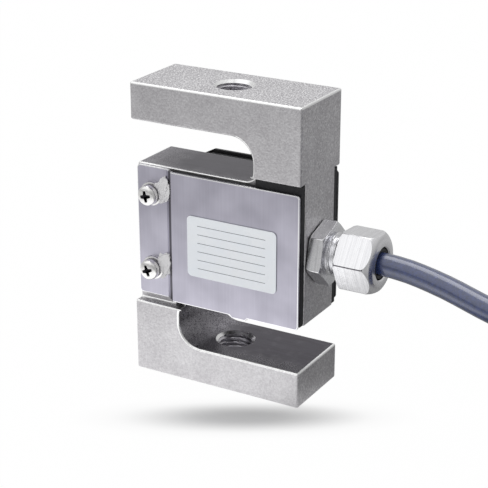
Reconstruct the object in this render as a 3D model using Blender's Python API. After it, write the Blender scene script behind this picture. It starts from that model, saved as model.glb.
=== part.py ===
"""S-shaped tension and compression load cell with a cable gland and its cable, in metres.

The origin is the bottom centre of the block, +Z is up, +X is the side that the cable leaves from, and
-Y is the front, which carries the label. Two arms and a middle block are joined by a column at each
end, so a load on the two threaded holes shears the thin web that carries the strain gauges.
"""

import math

import bmesh
import bpy
from mathutils import Matrix, Vector

# Gaps between pieces
CLEARANCE = 0.0003
STACK_GAP = 0.0001
CUT_OVER = 0.002

# Block
BLOCK_WIDTH = 0.0508
BLOCK_DEPTH = 0.022
CORE_HEIGHT = 0.037
ARM_THICKNESS = 0.0102
SLOT_HEIGHT = 0.0125
COLUMN_WIDTH = 0.0139
ARM_SIDE_CORNER = 0.0065
CORE_SIDE_CORNER = 0.004
EDGE_BREAK = 0.0005

# Threaded load holes, M10 x 1.25, as plain bores of the minor diameter
THREAD_MINOR_RADIUS = 0.0044
THREAD_MOUTH_RADIUS = 0.00545

# Recesses that take the covers, front and rear
RECESS_DEPTH = 0.003
RECESS_LEDGE = 0.0021

# Gauge pockets on both sides of the web
POCKET_SIDE_LAND = 0.0027
POCKET_END_WALL = 0.005
POCKET_CORNER = 0.005
WEB_THICKNESS = 0.0025

# Covers and gaskets
SHEET = 0.0008
COVER_INSET = 0.0002
COVER_CORNER = 0.0011
FLANGE_WIDTH = 0.0093
JOGGLE_RUN = 0.0026
TAB_FROM = 0.0045
TAB_WIDTH = 0.0055
TAB_DROP = 0.0007
REAR_COVER_LIFT = 0.0007
GASKET_WINDOW_MARGIN = 0.0005

# Label plate
LABEL_WIDTH = 0.0269
LABEL_HEIGHT = 0.0171
LABEL_CORNER = 0.0013
LABEL_THICKNESS = 0.0002
LABEL_SHIFT = 0.00525
LABEL_DROP = 0.00115

# Cover screws, M3 pan head, with a split washer on a flat washer
SCREW_FROM_END = 0.00785
SCREW_RADIUS = 0.00145
SCREW_HOLE_RADIUS = 0.0016
SCREW_HOLE_DEPTH = 0.006
SCREW_TIP_GAP = 0.0005
HEAD_RADIUS = 0.0028
HEAD_HEIGHT = 0.0018
HEAD_ROUNDING = 0.0009
CROSS_SPAN = 0.0030
CROSS_SLOT = 0.0007
CROSS_DEPTH = 0.0010
CROSS_TAPER = 0.55
WASHER_HOLE_RADIUS = 0.0017
FLAT_WASHER_RADIUS = 0.00325
FLAT_WASHER_THICKNESS = 0.0005
SPLIT_WASHER_RADIUS = 0.0028
SPLIT_WASHER_THICKNESS = 0.0007
SPLIT_OPENING_DEG = 14

# Gland: body screwed into the block, nut over it
GLAND_RADIUS = 0.0059
GLAND_HOLE_RADIUS = 0.0061
GLAND_HOLE_DEPTH = 0.0085
GLAND_BORE_RADIUS = 0.00375
PASSAGE_RADIUS = 0.004
HEX_ACROSS_FLATS = 0.015
HEX_CHAMFER = 0.00036
BODY_HEX_LENGTH = 0.004
BODY_HEX_TURN_DEG = 16.6
BODY_THREAD_LENGTH = 0.0087
THREAD_PITCH = 0.0015
THREAD_DEPTH = 0.0008
NUT_START = 0.0079
NUT_HEX_LENGTH = 0.0072
NUT_DOME_LENGTH = 0.003
NUT_TURN_DEG = -4.5
NUT_HOLE_RADIUS = 0.0043
NUT_MOUTH_RADIUS = 0.0056
SEAL_SEAT_DEPTH = 0.003
SEAL_RADIUS = 0.0046
SEAL_LIP_RADIUS = 0.00395
THRUST_WASHER_THICKNESS = 0.0005
O_RING_SECTION = 0.0011
O_RING_GROOVE_RADIUS = 0.0073
O_RING_GROOVE_DEPTH = 0.0012

# Gauges, boards and wires in the pockets
GAUGE_LENGTH = 0.005
GAUGE_WIDTH = 0.0034
GAUGE_THICKNESS = 0.0004
GAUGE_SPREAD = 0.0031
BOARD_SIDE_GAP = 0.0012
BOARD_HEIGHT = 0.003
BOARD_THICKNESS = 0.001
BOARD_FROM_TOP = 0.0043
PAD_FROM_BOARD_END = 0.0009
JUMPER_RADIUS = 0.00035
JUMPER_SPACING = 0.0024
CORE_RADIUS = 0.00045
CORE_SPACING = 0.0016
CORE_OFFSET = 0.0014
CORE_SPREAD = 0.0026
CORE_LIFT = 0.0014
CORE_WALL_GAP = 0.0002
CORE_LEAN = 0.0006
CORE_TURN_SHARE = 0.4

# Cable
CABLE_DIAMETER = 0.0061
CABLE_INNER_GAP = 0.0035
CONDUCTOR_RADIUS = 0.0006

# Tied hank of cable: two strands wide and six layers high
HANK_START = 0.070
HANK_FRONT = -0.0124
HANK_RUN = 0.045
HANK_RADIUS = 0.0212
HANK_PITCH = 0.0063
HANK_ACROSS = 2
HANK_LAYERS = 6
TIE_THICKNESS = 0.0006
TIE_WIDTH = 0.005
TIE_FROM_RUN_END = 0.011
HANK_ROUNDING = 0.0022
LEAD_NOTCH_WIDTH = 0.0094
TAIL_LENGTH = 0.0090
CONDUCTOR_LENGTH = 0.0165
CONDUCTOR_FAN = 0.0017
CONDUCTOR_CIRCLE = 0.0017

# Steps of curves
ROUND_SIDES = 40
SMALL_SIDES = 24
CORNER_STEPS = 6
ARC_STEPS = 8
SECTION_SIDES = 12
SMOOTH_BELOW_DEG = 30
ROUND_ABOVE_DEG = 40

# Places worked out from the sizes
HALF_WIDTH = BLOCK_WIDTH / 2
HALF_DEPTH = BLOCK_DEPTH / 2
CORE_BOTTOM = ARM_THICKNESS + SLOT_HEIGHT
CORE_TOP = CORE_BOTTOM + CORE_HEIGHT
BLOCK_HEIGHT = CORE_TOP + CORE_BOTTOM
MIDDLE = BLOCK_HEIGHT / 2
SLOT_END = HALF_WIDTH - COLUMN_WIDTH
RECESS_FLOOR = HALF_DEPTH - RECESS_DEPTH
FLANGE_FACE = RECESS_FLOOR + CLEARANCE + SHEET
COVER_SIDE = HALF_WIDTH - CLEARANCE
PANEL_INSIDE = HALF_DEPTH - SHEET
GASKET_THICKNESS = PANEL_INSIDE - RECESS_FLOOR - 2 * CLEARANCE
WEB_FACE = WEB_THICKNESS / 2
JOGGLE_START = FLANGE_WIDTH - COVER_SIDE
JOGGLE_END = JOGGLE_START + JOGGLE_RUN
SCREW_X = (JOGGLE_START - COVER_SIDE) / 2
POCKET_SIDE = -JOGGLE_END - POCKET_SIDE_LAND
POCKET_END = CORE_HEIGHT / 2 - POCKET_END_WALL
BOARD_END = POCKET_SIDE - BOARD_SIDE_GAP
BOARD_MIDDLE = MIDDLE + POCKET_END - BOARD_FROM_TOP
PAD_END = BOARD_END - PAD_FROM_BOARD_END
CABLE_INNER_START = POCKET_SIDE + CABLE_INNER_GAP
CABLE_RADIUS = CABLE_DIAMETER / 2
NUT_LENGTH = NUT_HEX_LENGTH + NUT_DOME_LENGTH
HEX_CORNER_RADIUS = HEX_ACROSS_FLATS / math.sqrt(3)
GLAND_PLACE = (HALF_WIDTH, 0, MIDDLE)
GLAND_EXIT = HALF_WIDTH + NUT_START + NUT_LENGTH
HANK_HALF_BUNDLE = ((HANK_ACROSS - 1) * HANK_PITCH + CABLE_DIAMETER) / 2
HANK_OUTSIDE = HANK_RADIUS + HANK_HALF_BUNDLE
HANK_INSIDE = HANK_RADIUS - HANK_HALF_BUNDLE
HANK_BASE = STACK_GAP + TIE_THICKNESS + CLEARANCE
HANK_TOP = HANK_BASE + (HANK_LAYERS - 1) * HANK_PITCH + CABLE_DIAMETER
HANK_LEFT = HANK_START + HANK_OUTSIDE
HANK_RIGHT = HANK_LEFT + HANK_RUN
HANK_Y = HANK_FRONT + TIE_THICKNESS + CLEARANCE + HANK_OUTSIDE
TRACK_REAR = HANK_Y + HANK_OUTSIDE - CABLE_RADIUS

# Route of the lead from the gland to the hank, as points chosen along it
LEAD_ROUTE = (
    (0.0435, 0.0, 0.0412),
    (0.0510, -0.0002, 0.0407),
    (0.0620, -0.0022, 0.0394),
    (0.0760, -0.0062, 0.0374),
    (0.0880, -0.0081, 0.0360),
    (0.0971, -0.00845, 0.03555),
)

# Conductors at the bare end: name, finish, place round the jacket's end and place in the fan
CONDUCTORS = (
    ("conductor_red", "red", 198, -2),
    ("conductor_black", "black", 126, -1),
    ("shield_drain", "tinned", 270, 0),
    ("conductor_green", "green", 54, 1),
    ("conductor_white", "white", 342, 2),
)

TURN_Z_TO_X = Matrix(((0, 0, 1), (1, 0, 0), (0, 1, 0))).to_euler()
TURN_Z_TO_FRONT = Matrix.Rotation(math.pi / 2, 3, "X").to_euler()
TURN_Z_TO_REAR = Matrix.Rotation(-math.pi / 2, 3, "X").to_euler()

FINISHES = {
    "block": ((0.58, 0.58, 0.60), 0.42, 1.0),
    "cover": ((0.44, 0.44, 0.50), 0.32, 1.0),
    "rear_cover": ((0.02, 0.02, 0.025), 0.5, 0.0),
    "gasket": ((0.008, 0.008, 0.012), 0.7, 0.0),
    "label": ((0.72, 0.80, 0.86), 0.35, 0.0),
    "screw": ((0.72, 0.70, 0.66), 0.25, 1.0),
    "gland": ((0.76, 0.76, 0.78), 0.2, 1.0),
    "seal": ((0.01, 0.01, 0.012), 0.6, 0.0),
    "cable": ((0.012, 0.013, 0.04), 0.3, 0.0),
    "tie": ((0.01, 0.01, 0.01), 0.45, 0.0),
    "gauge": ((0.75, 0.42, 0.12), 0.4, 0.0),
    "board": ((0.05, 0.22, 0.12), 0.5, 0.0),
    "copper": ((0.8, 0.38, 0.2), 0.3, 1.0),
    "red": ((0.6, 0.02, 0.02), 0.4, 0.0),
    "black": ((0.01, 0.01, 0.01), 0.4, 0.0),
    "green": ((0.02, 0.3, 0.06), 0.4, 0.0),
    "white": ((0.8, 0.8, 0.78), 0.4, 0.0),
    "tinned": ((0.7, 0.7, 0.72), 0.35, 1.0),
}


def clear_scene():
    """Remove every object that the scene starts with."""
    for obj in list(bpy.data.objects):
        bpy.data.objects.remove(obj, do_unlink=True)


def material_of(name, finish):
    """Return a new Principled material with the colour, roughness and metallic value of a finish."""
    colour, roughness, metallic = FINISHES[finish]
    material = bpy.data.materials.new(name)
    material.use_nodes = True
    shader = material.node_tree.nodes["Principled BSDF"]
    shader.inputs["Base Color"].default_value = (*colour, 1.0)
    shader.inputs["Roughness"].default_value = roughness
    shader.inputs["Metallic"].default_value = metallic
    material.diffuse_color = (*colour, 1.0)
    return material


def link(name, data, finish):
    """Return a linked object that holds the data, with its own material if a finish is given."""
    obj = bpy.data.objects.new(name, data)
    bpy.context.scene.collection.objects.link(obj)
    if finish:
        data.materials.append(material_of(name, finish))
    return obj


def mesh_object(name, bm, finish=None):
    """Turn a bmesh into an object, with its faces pointing out."""
    bmesh.ops.recalc_face_normals(bm, faces=bm.faces)
    mesh = bpy.data.meshes.new(name)
    bm.to_mesh(mesh)
    bm.free()
    mesh.shade_smooth()
    mesh.set_sharp_from_angle(angle=math.radians(SMOOTH_BELOW_DEG))
    return link(name, mesh, finish)


def cutter(obj):
    """Hide an object that only cuts others."""
    obj.hide_render = True
    obj.display_type = "WIRE"
    return obj


def boolean(obj, tool, operation="DIFFERENCE"):
    """Add a Boolean modifier that applies a tool to the object."""
    modifier = obj.modifiers.new(tool.name, "BOOLEAN")
    modifier.operation = operation
    modifier.solver = "EXACT"
    modifier.object = tool
    return obj


def bevel_edges(obj, width, segments):
    """Round the object's sharp edges."""
    bevel = obj.modifiers.new("rounding", "BEVEL")
    bevel.width = width
    bevel.segments = segments
    bevel.limit_method = "ANGLE"
    bevel.angle_limit = math.radians(ROUND_ABOVE_DEG)


def arc(centre, radius, start_deg, end_deg, steps):
    """Return the points of an arc in a plane, both ends included."""
    points = []
    for step in range(steps + 1):
        angle = math.radians(start_deg + (end_deg - start_deg) * step / steps)
        points.append((centre[0] + radius * math.cos(angle), centre[1] + radius * math.sin(angle)))
    return points


def rounded_rectangle(low, high, radius, steps=CORNER_STEPS):
    """Return a rectangle's outline with round corners, anticlockwise."""
    x0, y0 = low[0] + radius, low[1] + radius
    x1, y1 = high[0] - radius, high[1] - radius
    outline = arc((x1, y0), radius, -90, 0, steps)
    outline += arc((x1, y1), radius, 0, 90, steps)
    outline += arc((x0, y1), radius, 90, 180, steps)
    return outline + arc((x0, y0), radius, 180, 270, steps)


def racetrack(radius, steps):
    """Return the hank's outline at one distance from the middle of its folds."""
    outline = arc((HANK_RIGHT, HANK_Y), radius, -90, 90, steps)
    return outline + arc((HANK_LEFT, HANK_Y), radius, 90, 270, steps)


def prism(name, outline, low, high, finish=None):
    """Extrude a flat outline along local Z from low to high."""
    bm = bmesh.new()
    bottom = [bm.verts.new((x, y, low)) for x, y in outline]
    top = [bm.verts.new((x, y, high)) for x, y in outline]
    bm.faces.new(bottom)
    bm.faces.new(top)
    for index in range(len(outline)):
        after = (index + 1) % len(outline)
        bm.faces.new((bottom[index], bottom[after], top[after], top[index]))
    return mesh_object(name, bm, finish)


def ring_prism(name, outer, inner, low, high, finish=None):
    """Extrude the band between two outlines of as many points along local Z."""
    bm = bmesh.new()
    loops = [
        [bm.verts.new((x, y, z)) for x, y in outline]
        for outline, z in ((outer, low), (outer, high), (inner, high), (inner, low))
    ]
    for ring, following in zip(loops, loops[1:] + loops[:1]):
        for index in range(len(outer)):
            after = (index + 1) % len(outer)
            bm.faces.new((ring[index], ring[after], following[after], following[index]))
    return mesh_object(name, bm, finish)


def turned(name, profile, sides, finish=None, turn_deg=0.0):
    """Turn a profile of (radius, height) points about local Z.

    A profile that starts and ends on the axis makes a solid body, and any other makes a ring.
    """
    bm = bmesh.new()
    rings = []
    for radius, height in profile:
        if radius == 0:
            rings.append([bm.verts.new((0, 0, height))] * sides)
            continue
        ring = []
        for side in range(sides):
            angle = math.radians(turn_deg) + 2 * math.pi * side / sides
            ring.append(bm.verts.new((radius * math.cos(angle), radius * math.sin(angle), height)))
        rings.append(ring)
    solid = profile[0][0] == 0
    following = rings[1:] if solid else rings[1:] + rings[:1]
    for ring, other in zip(rings, following):
        for side in range(sides):
            after = (side + 1) % sides
            corners = [ring[side], ring[after], other[after], other[side]]
            bm.faces.new(list(dict.fromkeys(corners)))
    return mesh_object(name, bm, finish)


def box(name, low, high, finish=None):
    """Make a box from its lowest and highest corners."""
    outline = ((low[0], low[1]), (high[0], low[1]), (high[0], high[1]), (low[0], high[1]))
    return prism(name, outline, low[2], high[2], finish)


def tube(name, points, radius, finish, resolution=2):
    """Make a round tube along points, with closed ends."""
    curve = bpy.data.curves.new(name, "CURVE")
    curve.dimensions = "3D"
    curve.bevel_depth = radius
    curve.bevel_resolution = resolution
    curve.use_fill_caps = True
    spline = curve.splines.new("POLY")
    spline.points.add(len(points) - 1)
    for point, place in zip(spline.points, points):
        point.co = (*place, 1.0)
    return link(name, curve, finish)


def smooth_route(route, spacing):
    """Return points on the smooth curve through a route, about one spacing apart."""
    places = [Vector(place) for place in route]
    places = [2 * places[0] - places[1], *places, 2 * places[-1] - places[-2]]
    points = [places[1]]
    for before, start, end, after in zip(places, places[1:], places[2:], places[3:]):
        steps = max(1, round((end - start).length / spacing))
        for step in range(1, steps + 1):
            t = step / steps
            bend = 2 * start + t * (end - before)
            bend += t * t * (2 * before - 5 * start + 4 * end - after)
            bend += t * t * t * (3 * start - before - 3 * end + after)
            points.append(bend / 2)
    return points


def place(obj, location, turn=None):
    """Set an object's place and, if given, its rotation."""
    obj.location = location
    if turn:
        obj.rotation_euler = turn
    return obj


def s_outline():
    """Return the outline of the S in the XZ plane, anticlockwise from the bottom left corner."""
    arm_arc = (ARM_SIDE_CORNER - SLOT_END, ARM_THICKNESS + ARM_SIDE_CORNER)
    core_arc = (CORE_SIDE_CORNER - SLOT_END, CORE_BOTTOM - CORE_SIDE_CORNER)
    lower = [(-HALF_WIDTH, 0), (HALF_WIDTH, 0), (HALF_WIDTH, ARM_THICKNESS)]
    lower += arc(arm_arc, ARM_SIDE_CORNER, 270, 180, ARC_STEPS)
    lower += arc(core_arc, CORE_SIDE_CORNER, 180, 90, CORNER_STEPS)
    lower += [(HALF_WIDTH, CORE_BOTTOM)]
    return lower + [(-x, BLOCK_HEIGHT - z) for x, z in lower]


def load_hole_cutter(name, low):
    """Make the cutter of one arm's threaded hole, with a chamfer at both mouths."""
    high = low + ARM_THICKNESS
    chamfer = THREAD_MOUTH_RADIUS - THREAD_MINOR_RADIUS
    wide = THREAD_MOUTH_RADIUS + CUT_OVER
    profile = (
        (0, low - CUT_OVER),
        (wide, low - CUT_OVER),
        (THREAD_MINOR_RADIUS, low + chamfer),
        (THREAD_MINOR_RADIUS, high - chamfer),
        (wide, high + CUT_OVER),
        (0, high + CUT_OVER),
    )
    return cutter(turned(name, profile, ROUND_SIDES))


def recess_cutter(side):
    """Make the cutter of the front (-1) or rear (1) recess that a cover sits in."""
    ends = sorted((side * RECESS_FLOOR, side * (HALF_DEPTH + CUT_OVER)))
    low = (-HALF_WIDTH - CUT_OVER, ends[0], CORE_BOTTOM - RECESS_LEDGE)
    high = (HALF_WIDTH + CUT_OVER, ends[1], CORE_TOP + RECESS_LEDGE)
    return cutter(box(f"recess_cutter_{side_name(side)}", low, high))


def side_name(side):
    """Return the word for the front (-1) or the rear (1)."""
    return "front" if side < 0 else "rear"


def turn_out(side):
    """Return the rotation that points local Z out of the front (-1) or the rear (1)."""
    return TURN_Z_TO_FRONT if side < 0 else TURN_Z_TO_REAR


def pocket_cutter(side):
    """Make the cutter of a gauge pocket, from the recess floor to the web."""
    outline = rounded_rectangle((-POCKET_SIDE, -POCKET_END), (POCKET_SIDE, POCKET_END), POCKET_CORNER)
    tool = prism(f"pocket_cutter_{side_name(side)}", outline, WEB_FACE, HALF_DEPTH)
    return cutter(place(tool, (0, 0, MIDDLE), turn_out(side)))


def gland_hole_cutter():
    """Make the stepped cutter of the gland's hole, from the right face into both pockets."""
    mouth = HALF_WIDTH + CUT_OVER
    shoulder = HALF_WIDTH - GLAND_HOLE_DEPTH
    profile = (
        (0, mouth),
        (O_RING_GROOVE_RADIUS, mouth),
        (O_RING_GROOVE_RADIUS, HALF_WIDTH - O_RING_GROOVE_DEPTH),
        (GLAND_HOLE_RADIUS, HALF_WIDTH - O_RING_GROOVE_DEPTH),
        (GLAND_HOLE_RADIUS, shoulder),
        (PASSAGE_RADIUS, shoulder),
        (PASSAGE_RADIUS, POCKET_SIDE - CUT_OVER),
        (0, POCKET_SIDE - CUT_OVER),
    )
    tool = turned("gland_hole_cutter", profile, ROUND_SIDES)
    return cutter(place(tool, (0, 0, MIDDLE), TURN_Z_TO_X))


def screw_places(side):
    """Return the name and the place on the recess floor of each cover screw on one side."""
    heights = (("lower", CORE_BOTTOM + SCREW_FROM_END), ("upper", CORE_TOP - SCREW_FROM_END))
    return [
        (f"{side_name(side)}_{name}", (SCREW_X, side * RECESS_FLOOR, height))
        for name, height in heights
    ]


def build_body():
    """Make the S-shaped block with its holes, recesses and pockets."""
    body = prism("s_body", s_outline(), -HALF_DEPTH, HALF_DEPTH, "block")
    body.rotation_euler = TURN_Z_TO_FRONT
    bevel_edges(body, EDGE_BREAK, 2)
    boolean(body, load_hole_cutter("lower_hole_cutter", 0))
    boolean(body, load_hole_cutter("upper_hole_cutter", BLOCK_HEIGHT - ARM_THICKNESS))
    for side in (-1, 1):
        boolean(body, recess_cutter(side))
        boolean(body, pocket_cutter(side))
        for name, (x, y, z) in screw_places(side):
            profile = ((0, -SCREW_HOLE_DEPTH), (SCREW_HOLE_RADIUS, -SCREW_HOLE_DEPTH))
            profile += ((SCREW_HOLE_RADIUS, CUT_OVER), (0, CUT_OVER))
            tool = turned(f"screw_hole_cutter_{name}", profile, SMALL_SIDES)
            boolean(body, cutter(place(tool, (x, y, z), turn_out(side))))
    boolean(body, gland_hole_cutter())


def cover_profile():
    """Return the cover's section in plan: outside going right, then inside coming back."""
    rise = HALF_DEPTH - FLANGE_FACE
    shift = SHEET * math.tan(math.atan2(rise, JOGGLE_RUN) / 2)
    return [
        (-COVER_SIDE, FLANGE_FACE),
        (JOGGLE_START, FLANGE_FACE),
        (JOGGLE_END, HALF_DEPTH),
        (COVER_SIDE, HALF_DEPTH),
        (COVER_SIDE, PANEL_INSIDE),
        (JOGGLE_END + shift, PANEL_INSIDE),
        (JOGGLE_START + shift, FLANGE_FACE - SHEET),
        (-COVER_SIDE, FLANGE_FACE - SHEET),
    ]


def cover_trim(side, lift):
    """Make the tool that trims a cover to its round-cornered outline with the tab below."""
    low = (-COVER_SIDE, CORE_BOTTOM + COVER_INSET + lift)
    high = (COVER_SIDE, CORE_TOP - COVER_INSET + lift)
    radius = COVER_CORNER
    tab_end = TAB_FROM + TAB_WIDTH
    outline = [(TAB_FROM, low[1]), (TAB_FROM + TAB_DROP, low[1] - TAB_DROP)]
    outline += [(tab_end - TAB_DROP, low[1] - TAB_DROP), (tab_end, low[1])]
    outline += arc((high[0] - radius, low[1] + radius), radius, -90, 0, CORNER_STEPS)
    outline += arc((high[0] - radius, high[1] - radius), radius, 0, 90, CORNER_STEPS)
    outline += arc((low[0] + radius, high[1] - radius), radius, 90, 180, CORNER_STEPS)
    outline += arc((low[0] + radius, low[1] + radius), radius, 180, 270, CORNER_STEPS)
    depths = sorted((-side * (RECESS_FLOOR - CUT_OVER), -side * (HALF_DEPTH + CUT_OVER)))
    tool = prism(f"cover_trim_{side_name(side)}", outline, *depths)
    tool.rotation_euler = TURN_Z_TO_FRONT
    return cutter(tool)


def build_cover(side, lift, finish):
    """Make a cover with a screwed flange at -X and a raised panel over the gauge pocket."""
    outline = [(x, side * y) for x, y in cover_profile()]
    low = CORE_BOTTOM - CUT_OVER
    cover = prism(f"{side_name(side)}_cover", outline, low, CORE_TOP + CUT_OVER, finish)
    boolean(cover, cover_trim(side, lift), "INTERSECT")
    for name, (x, y, z) in screw_places(side):
        profile = ((0, 0), (WASHER_HOLE_RADIUS, 0))
        profile += ((WASHER_HOLE_RADIUS, RECESS_DEPTH), (0, RECESS_DEPTH))
        tool = turned(f"cover_hole_cutter_{name}", profile, SMALL_SIDES)
        boolean(cover, cutter(place(tool, (x, y, z), turn_out(side))))


def build_gasket(side):
    """Make the gasket between a cover's panel and the recess floor, open over the pocket."""
    left = JOGGLE_END + CLEARANCE
    right = COVER_SIDE
    step = SLOT_END + CLEARANCE
    low = CORE_BOTTOM + 2 * COVER_INSET
    high = CORE_TOP - 2 * COVER_INSET
    ledge_low = CORE_BOTTOM - RECESS_LEDGE + CLEARANCE
    ledge_high = CORE_TOP + RECESS_LEDGE - CLEARANCE
    outline = [(left, ledge_low), (-step, ledge_low), (-step, low), (right, low)]
    outline += [(right, ledge_high), (step, ledge_high), (step, high), (left, high)]
    start = RECESS_FLOOR + CLEARANCE
    depths = sorted((-side * start, -side * (start + GASKET_THICKNESS)))
    gasket = prism(f"{side_name(side)}_gasket", outline, *depths, "gasket")
    gasket.rotation_euler = TURN_Z_TO_FRONT
    half = (POCKET_SIDE + GASKET_WINDOW_MARGIN, POCKET_END + GASKET_WINDOW_MARGIN)
    window = rounded_rectangle((-half[0], -half[1]), half, POCKET_CORNER)
    tool = prism(f"gasket_window_{side_name(side)}", window, 0, HALF_DEPTH)
    boolean(gasket, cutter(place(tool, (0, 0, MIDDLE), turn_out(side))))


def build_label():
    """Make the thin label plate on the front cover."""
    half = (LABEL_WIDTH / 2, LABEL_HEIGHT / 2)
    outline = rounded_rectangle((-half[0], -half[1]), half, LABEL_CORNER)
    start = HALF_DEPTH + STACK_GAP
    label = prism("label_plate", outline, start, start + LABEL_THICKNESS, "label")
    place(label, (LABEL_SHIFT, 0, MIDDLE - LABEL_DROP), TURN_Z_TO_FRONT)


def cross_outline(scale):
    """Return the outline of the screw's cross recess, anticlockwise."""
    long, short = scale * CROSS_SPAN / 2, CROSS_SLOT / 2
    quarter = [(long, -short), (long, short), (short, short)]
    outline = []
    for cos, sin in ((1, 0), (0, 1), (-1, 0), (0, -1)):
        outline += [(x * cos - y * sin, x * sin + y * cos) for x, y in quarter]
    return outline


def cross_cutter(name, top):
    """Make the cutter of the cross recess, narrower at its bottom."""
    bm = bmesh.new()
    levels = ((CROSS_TAPER, top - CROSS_DEPTH), (1.0, top), (1.0, top + CUT_OVER))
    rings = [
        [bm.verts.new((x, y, height)) for x, y in cross_outline(scale)] for scale, height in levels
    ]
    bm.faces.new(rings[0])
    bm.faces.new(rings[-1])
    for ring, other in zip(rings, rings[1:]):
        for index in range(len(ring)):
            after = (index + 1) % len(ring)
            bm.faces.new((ring[index], ring[after], other[after], other[index]))
    return cutter(mesh_object(name, bm))


def split_washer(name, low, finish):
    """Make the split spring washer as an open ring."""
    start, end = SPLIT_OPENING_DEG / 2, 360 - SPLIT_OPENING_DEG / 2
    outline = arc((0, 0), SPLIT_WASHER_RADIUS, start, end, SMALL_SIDES)
    outline += arc((0, 0), WASHER_HOLE_RADIUS, end, start, SMALL_SIDES)
    return prism(name, outline, low, low + SPLIT_WASHER_THICKNESS, finish)


def build_screw(side, name, location):
    """Make one cover screw with its split washer and flat washer, outwards from the recess floor."""
    turn = turn_out(side)
    flat_low = FLANGE_FACE - RECESS_FLOOR + STACK_GAP
    flat_high = flat_low + FLAT_WASHER_THICKNESS
    split_low = flat_high + STACK_GAP
    head_low = split_low + SPLIT_WASHER_THICKNESS + STACK_GAP
    head_high = head_low + HEAD_HEIGHT
    flat_profile = ((WASHER_HOLE_RADIUS, flat_low), (FLAT_WASHER_RADIUS, flat_low))
    flat_profile += ((FLAT_WASHER_RADIUS, flat_high), (WASHER_HOLE_RADIUS, flat_high))
    place(turned(f"flat_washer_{name}", flat_profile, SMALL_SIDES, "screw"), location, turn)
    place(split_washer(f"split_washer_{name}", split_low, "screw"), location, turn)
    rounding = (HEAD_RADIUS - HEAD_ROUNDING, head_high - HEAD_ROUNDING)
    tip = SCREW_TIP_GAP - SCREW_HOLE_DEPTH
    profile = [(0, tip), (SCREW_RADIUS, tip), (SCREW_RADIUS, head_low), (HEAD_RADIUS, head_low)]
    profile += arc(rounding, HEAD_ROUNDING, 0, 90, CORNER_STEPS // 2)
    profile += [(0, head_high)]
    screw = place(turned(f"cover_screw_{name}", profile, SMALL_SIDES, "screw"), location, turn)
    boolean(screw, place(cross_cutter(f"cross_cutter_{name}", head_high), location, turn))


def hex_cutter(name, low, high, turn_deg):
    """Make the collar that cuts six flats, along local Z."""
    profile = ((HEX_CORNER_RADIUS, low), (2 * HEX_CORNER_RADIUS, low))
    profile += ((2 * HEX_CORNER_RADIUS, high), (HEX_CORNER_RADIUS, high))
    return cutter(place(turned(name, profile, 6, None, turn_deg), GLAND_PLACE, TURN_Z_TO_X))


def build_gland_body():
    """Make the gland body: a stub in the block, a hexagon and the thread that takes the nut."""
    hex_start = CLEARANCE
    hex_end = hex_start + BODY_HEX_LENGTH
    end = hex_end + BODY_THREAD_LENGTH
    root = GLAND_RADIUS - THREAD_DEPTH
    seat_radius = SEAL_RADIUS + CLEARANCE
    stub_end = CLEARANCE - GLAND_HOLE_DEPTH
    profile = [(GLAND_BORE_RADIUS, stub_end), (GLAND_RADIUS, stub_end)]
    profile += [(GLAND_RADIUS, hex_start), (HEX_CORNER_RADIUS, hex_start)]
    profile += [(HEX_CORNER_RADIUS, hex_end - HEX_CHAMFER), (HEX_CORNER_RADIUS - HEX_CHAMFER, hex_end)]
    profile += [(root, hex_end)]
    crest = hex_end + THREAD_PITCH / 4
    while crest + THREAD_PITCH < end:
        profile += [(root, crest), (GLAND_RADIUS, crest + THREAD_PITCH / 3)]
        profile += [(GLAND_RADIUS, crest + THREAD_PITCH / 2), (root, crest + 5 * THREAD_PITCH / 6)]
        crest += THREAD_PITCH
    profile += [(root, end), (seat_radius, end), (seat_radius, end - SEAL_SEAT_DEPTH)]
    profile += [(GLAND_BORE_RADIUS, end - SEAL_SEAT_DEPTH)]
    body = place(turned("gland_body", profile, ROUND_SIDES, "gland"), GLAND_PLACE, TURN_Z_TO_X)
    low, high = hex_start - STACK_GAP, hex_end + STACK_GAP
    boolean(body, hex_cutter("body_hex_cutter", low, high, BODY_HEX_TURN_DEG))


def build_o_ring():
    """Make the O-ring between the gland body's hexagon and the block."""
    radius = (GLAND_HOLE_RADIUS + O_RING_GROOVE_RADIUS) / 2
    section = O_RING_SECTION / 2
    height = (CLEARANCE - O_RING_GROOVE_DEPTH) / 2
    last_deg = 360 - 360 / SECTION_SIDES
    profile = arc((radius, height), section, 0, last_deg, SECTION_SIDES - 1)
    place(turned("gland_o_ring", profile, ROUND_SIDES, "seal"), GLAND_PLACE, TURN_Z_TO_X)


def build_seal():
    """Make the rubber seal round the cable, from its seat in the body to the mouth of the nut."""
    seat = CLEARANCE + BODY_HEX_LENGTH + BODY_THREAD_LENGTH - SEAL_SEAT_DEPTH + CLEARANCE
    shoulder = NUT_START + NUT_HEX_LENGTH - CLEARANCE
    neck = shoulder + SEAL_RADIUS - SEAL_LIP_RADIUS
    end = NUT_START + NUT_LENGTH - CLEARANCE
    inside = CABLE_RADIUS + CLEARANCE
    profile = ((inside, seat), (SEAL_RADIUS, seat), (SEAL_RADIUS, shoulder))
    profile += ((SEAL_LIP_RADIUS, neck), (SEAL_LIP_RADIUS, end), (inside, end))
    place(turned("gland_seal", profile, ROUND_SIDES, "seal"), GLAND_PLACE, TURN_Z_TO_X)


def build_thrust_washer():
    """Make the washer that the nut presses on the gland body's end."""
    low = CLEARANCE + BODY_HEX_LENGTH + BODY_THREAD_LENGTH + CLEARANCE
    high = low + THRUST_WASHER_THICKNESS
    inside = SEAL_RADIUS + CLEARANCE
    profile = ((inside, low), (GLAND_RADIUS, low), (GLAND_RADIUS, high), (inside, high))
    place(turned("gland_thrust_washer", profile, ROUND_SIDES, "gland"), GLAND_PLACE, TURN_Z_TO_X)


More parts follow.
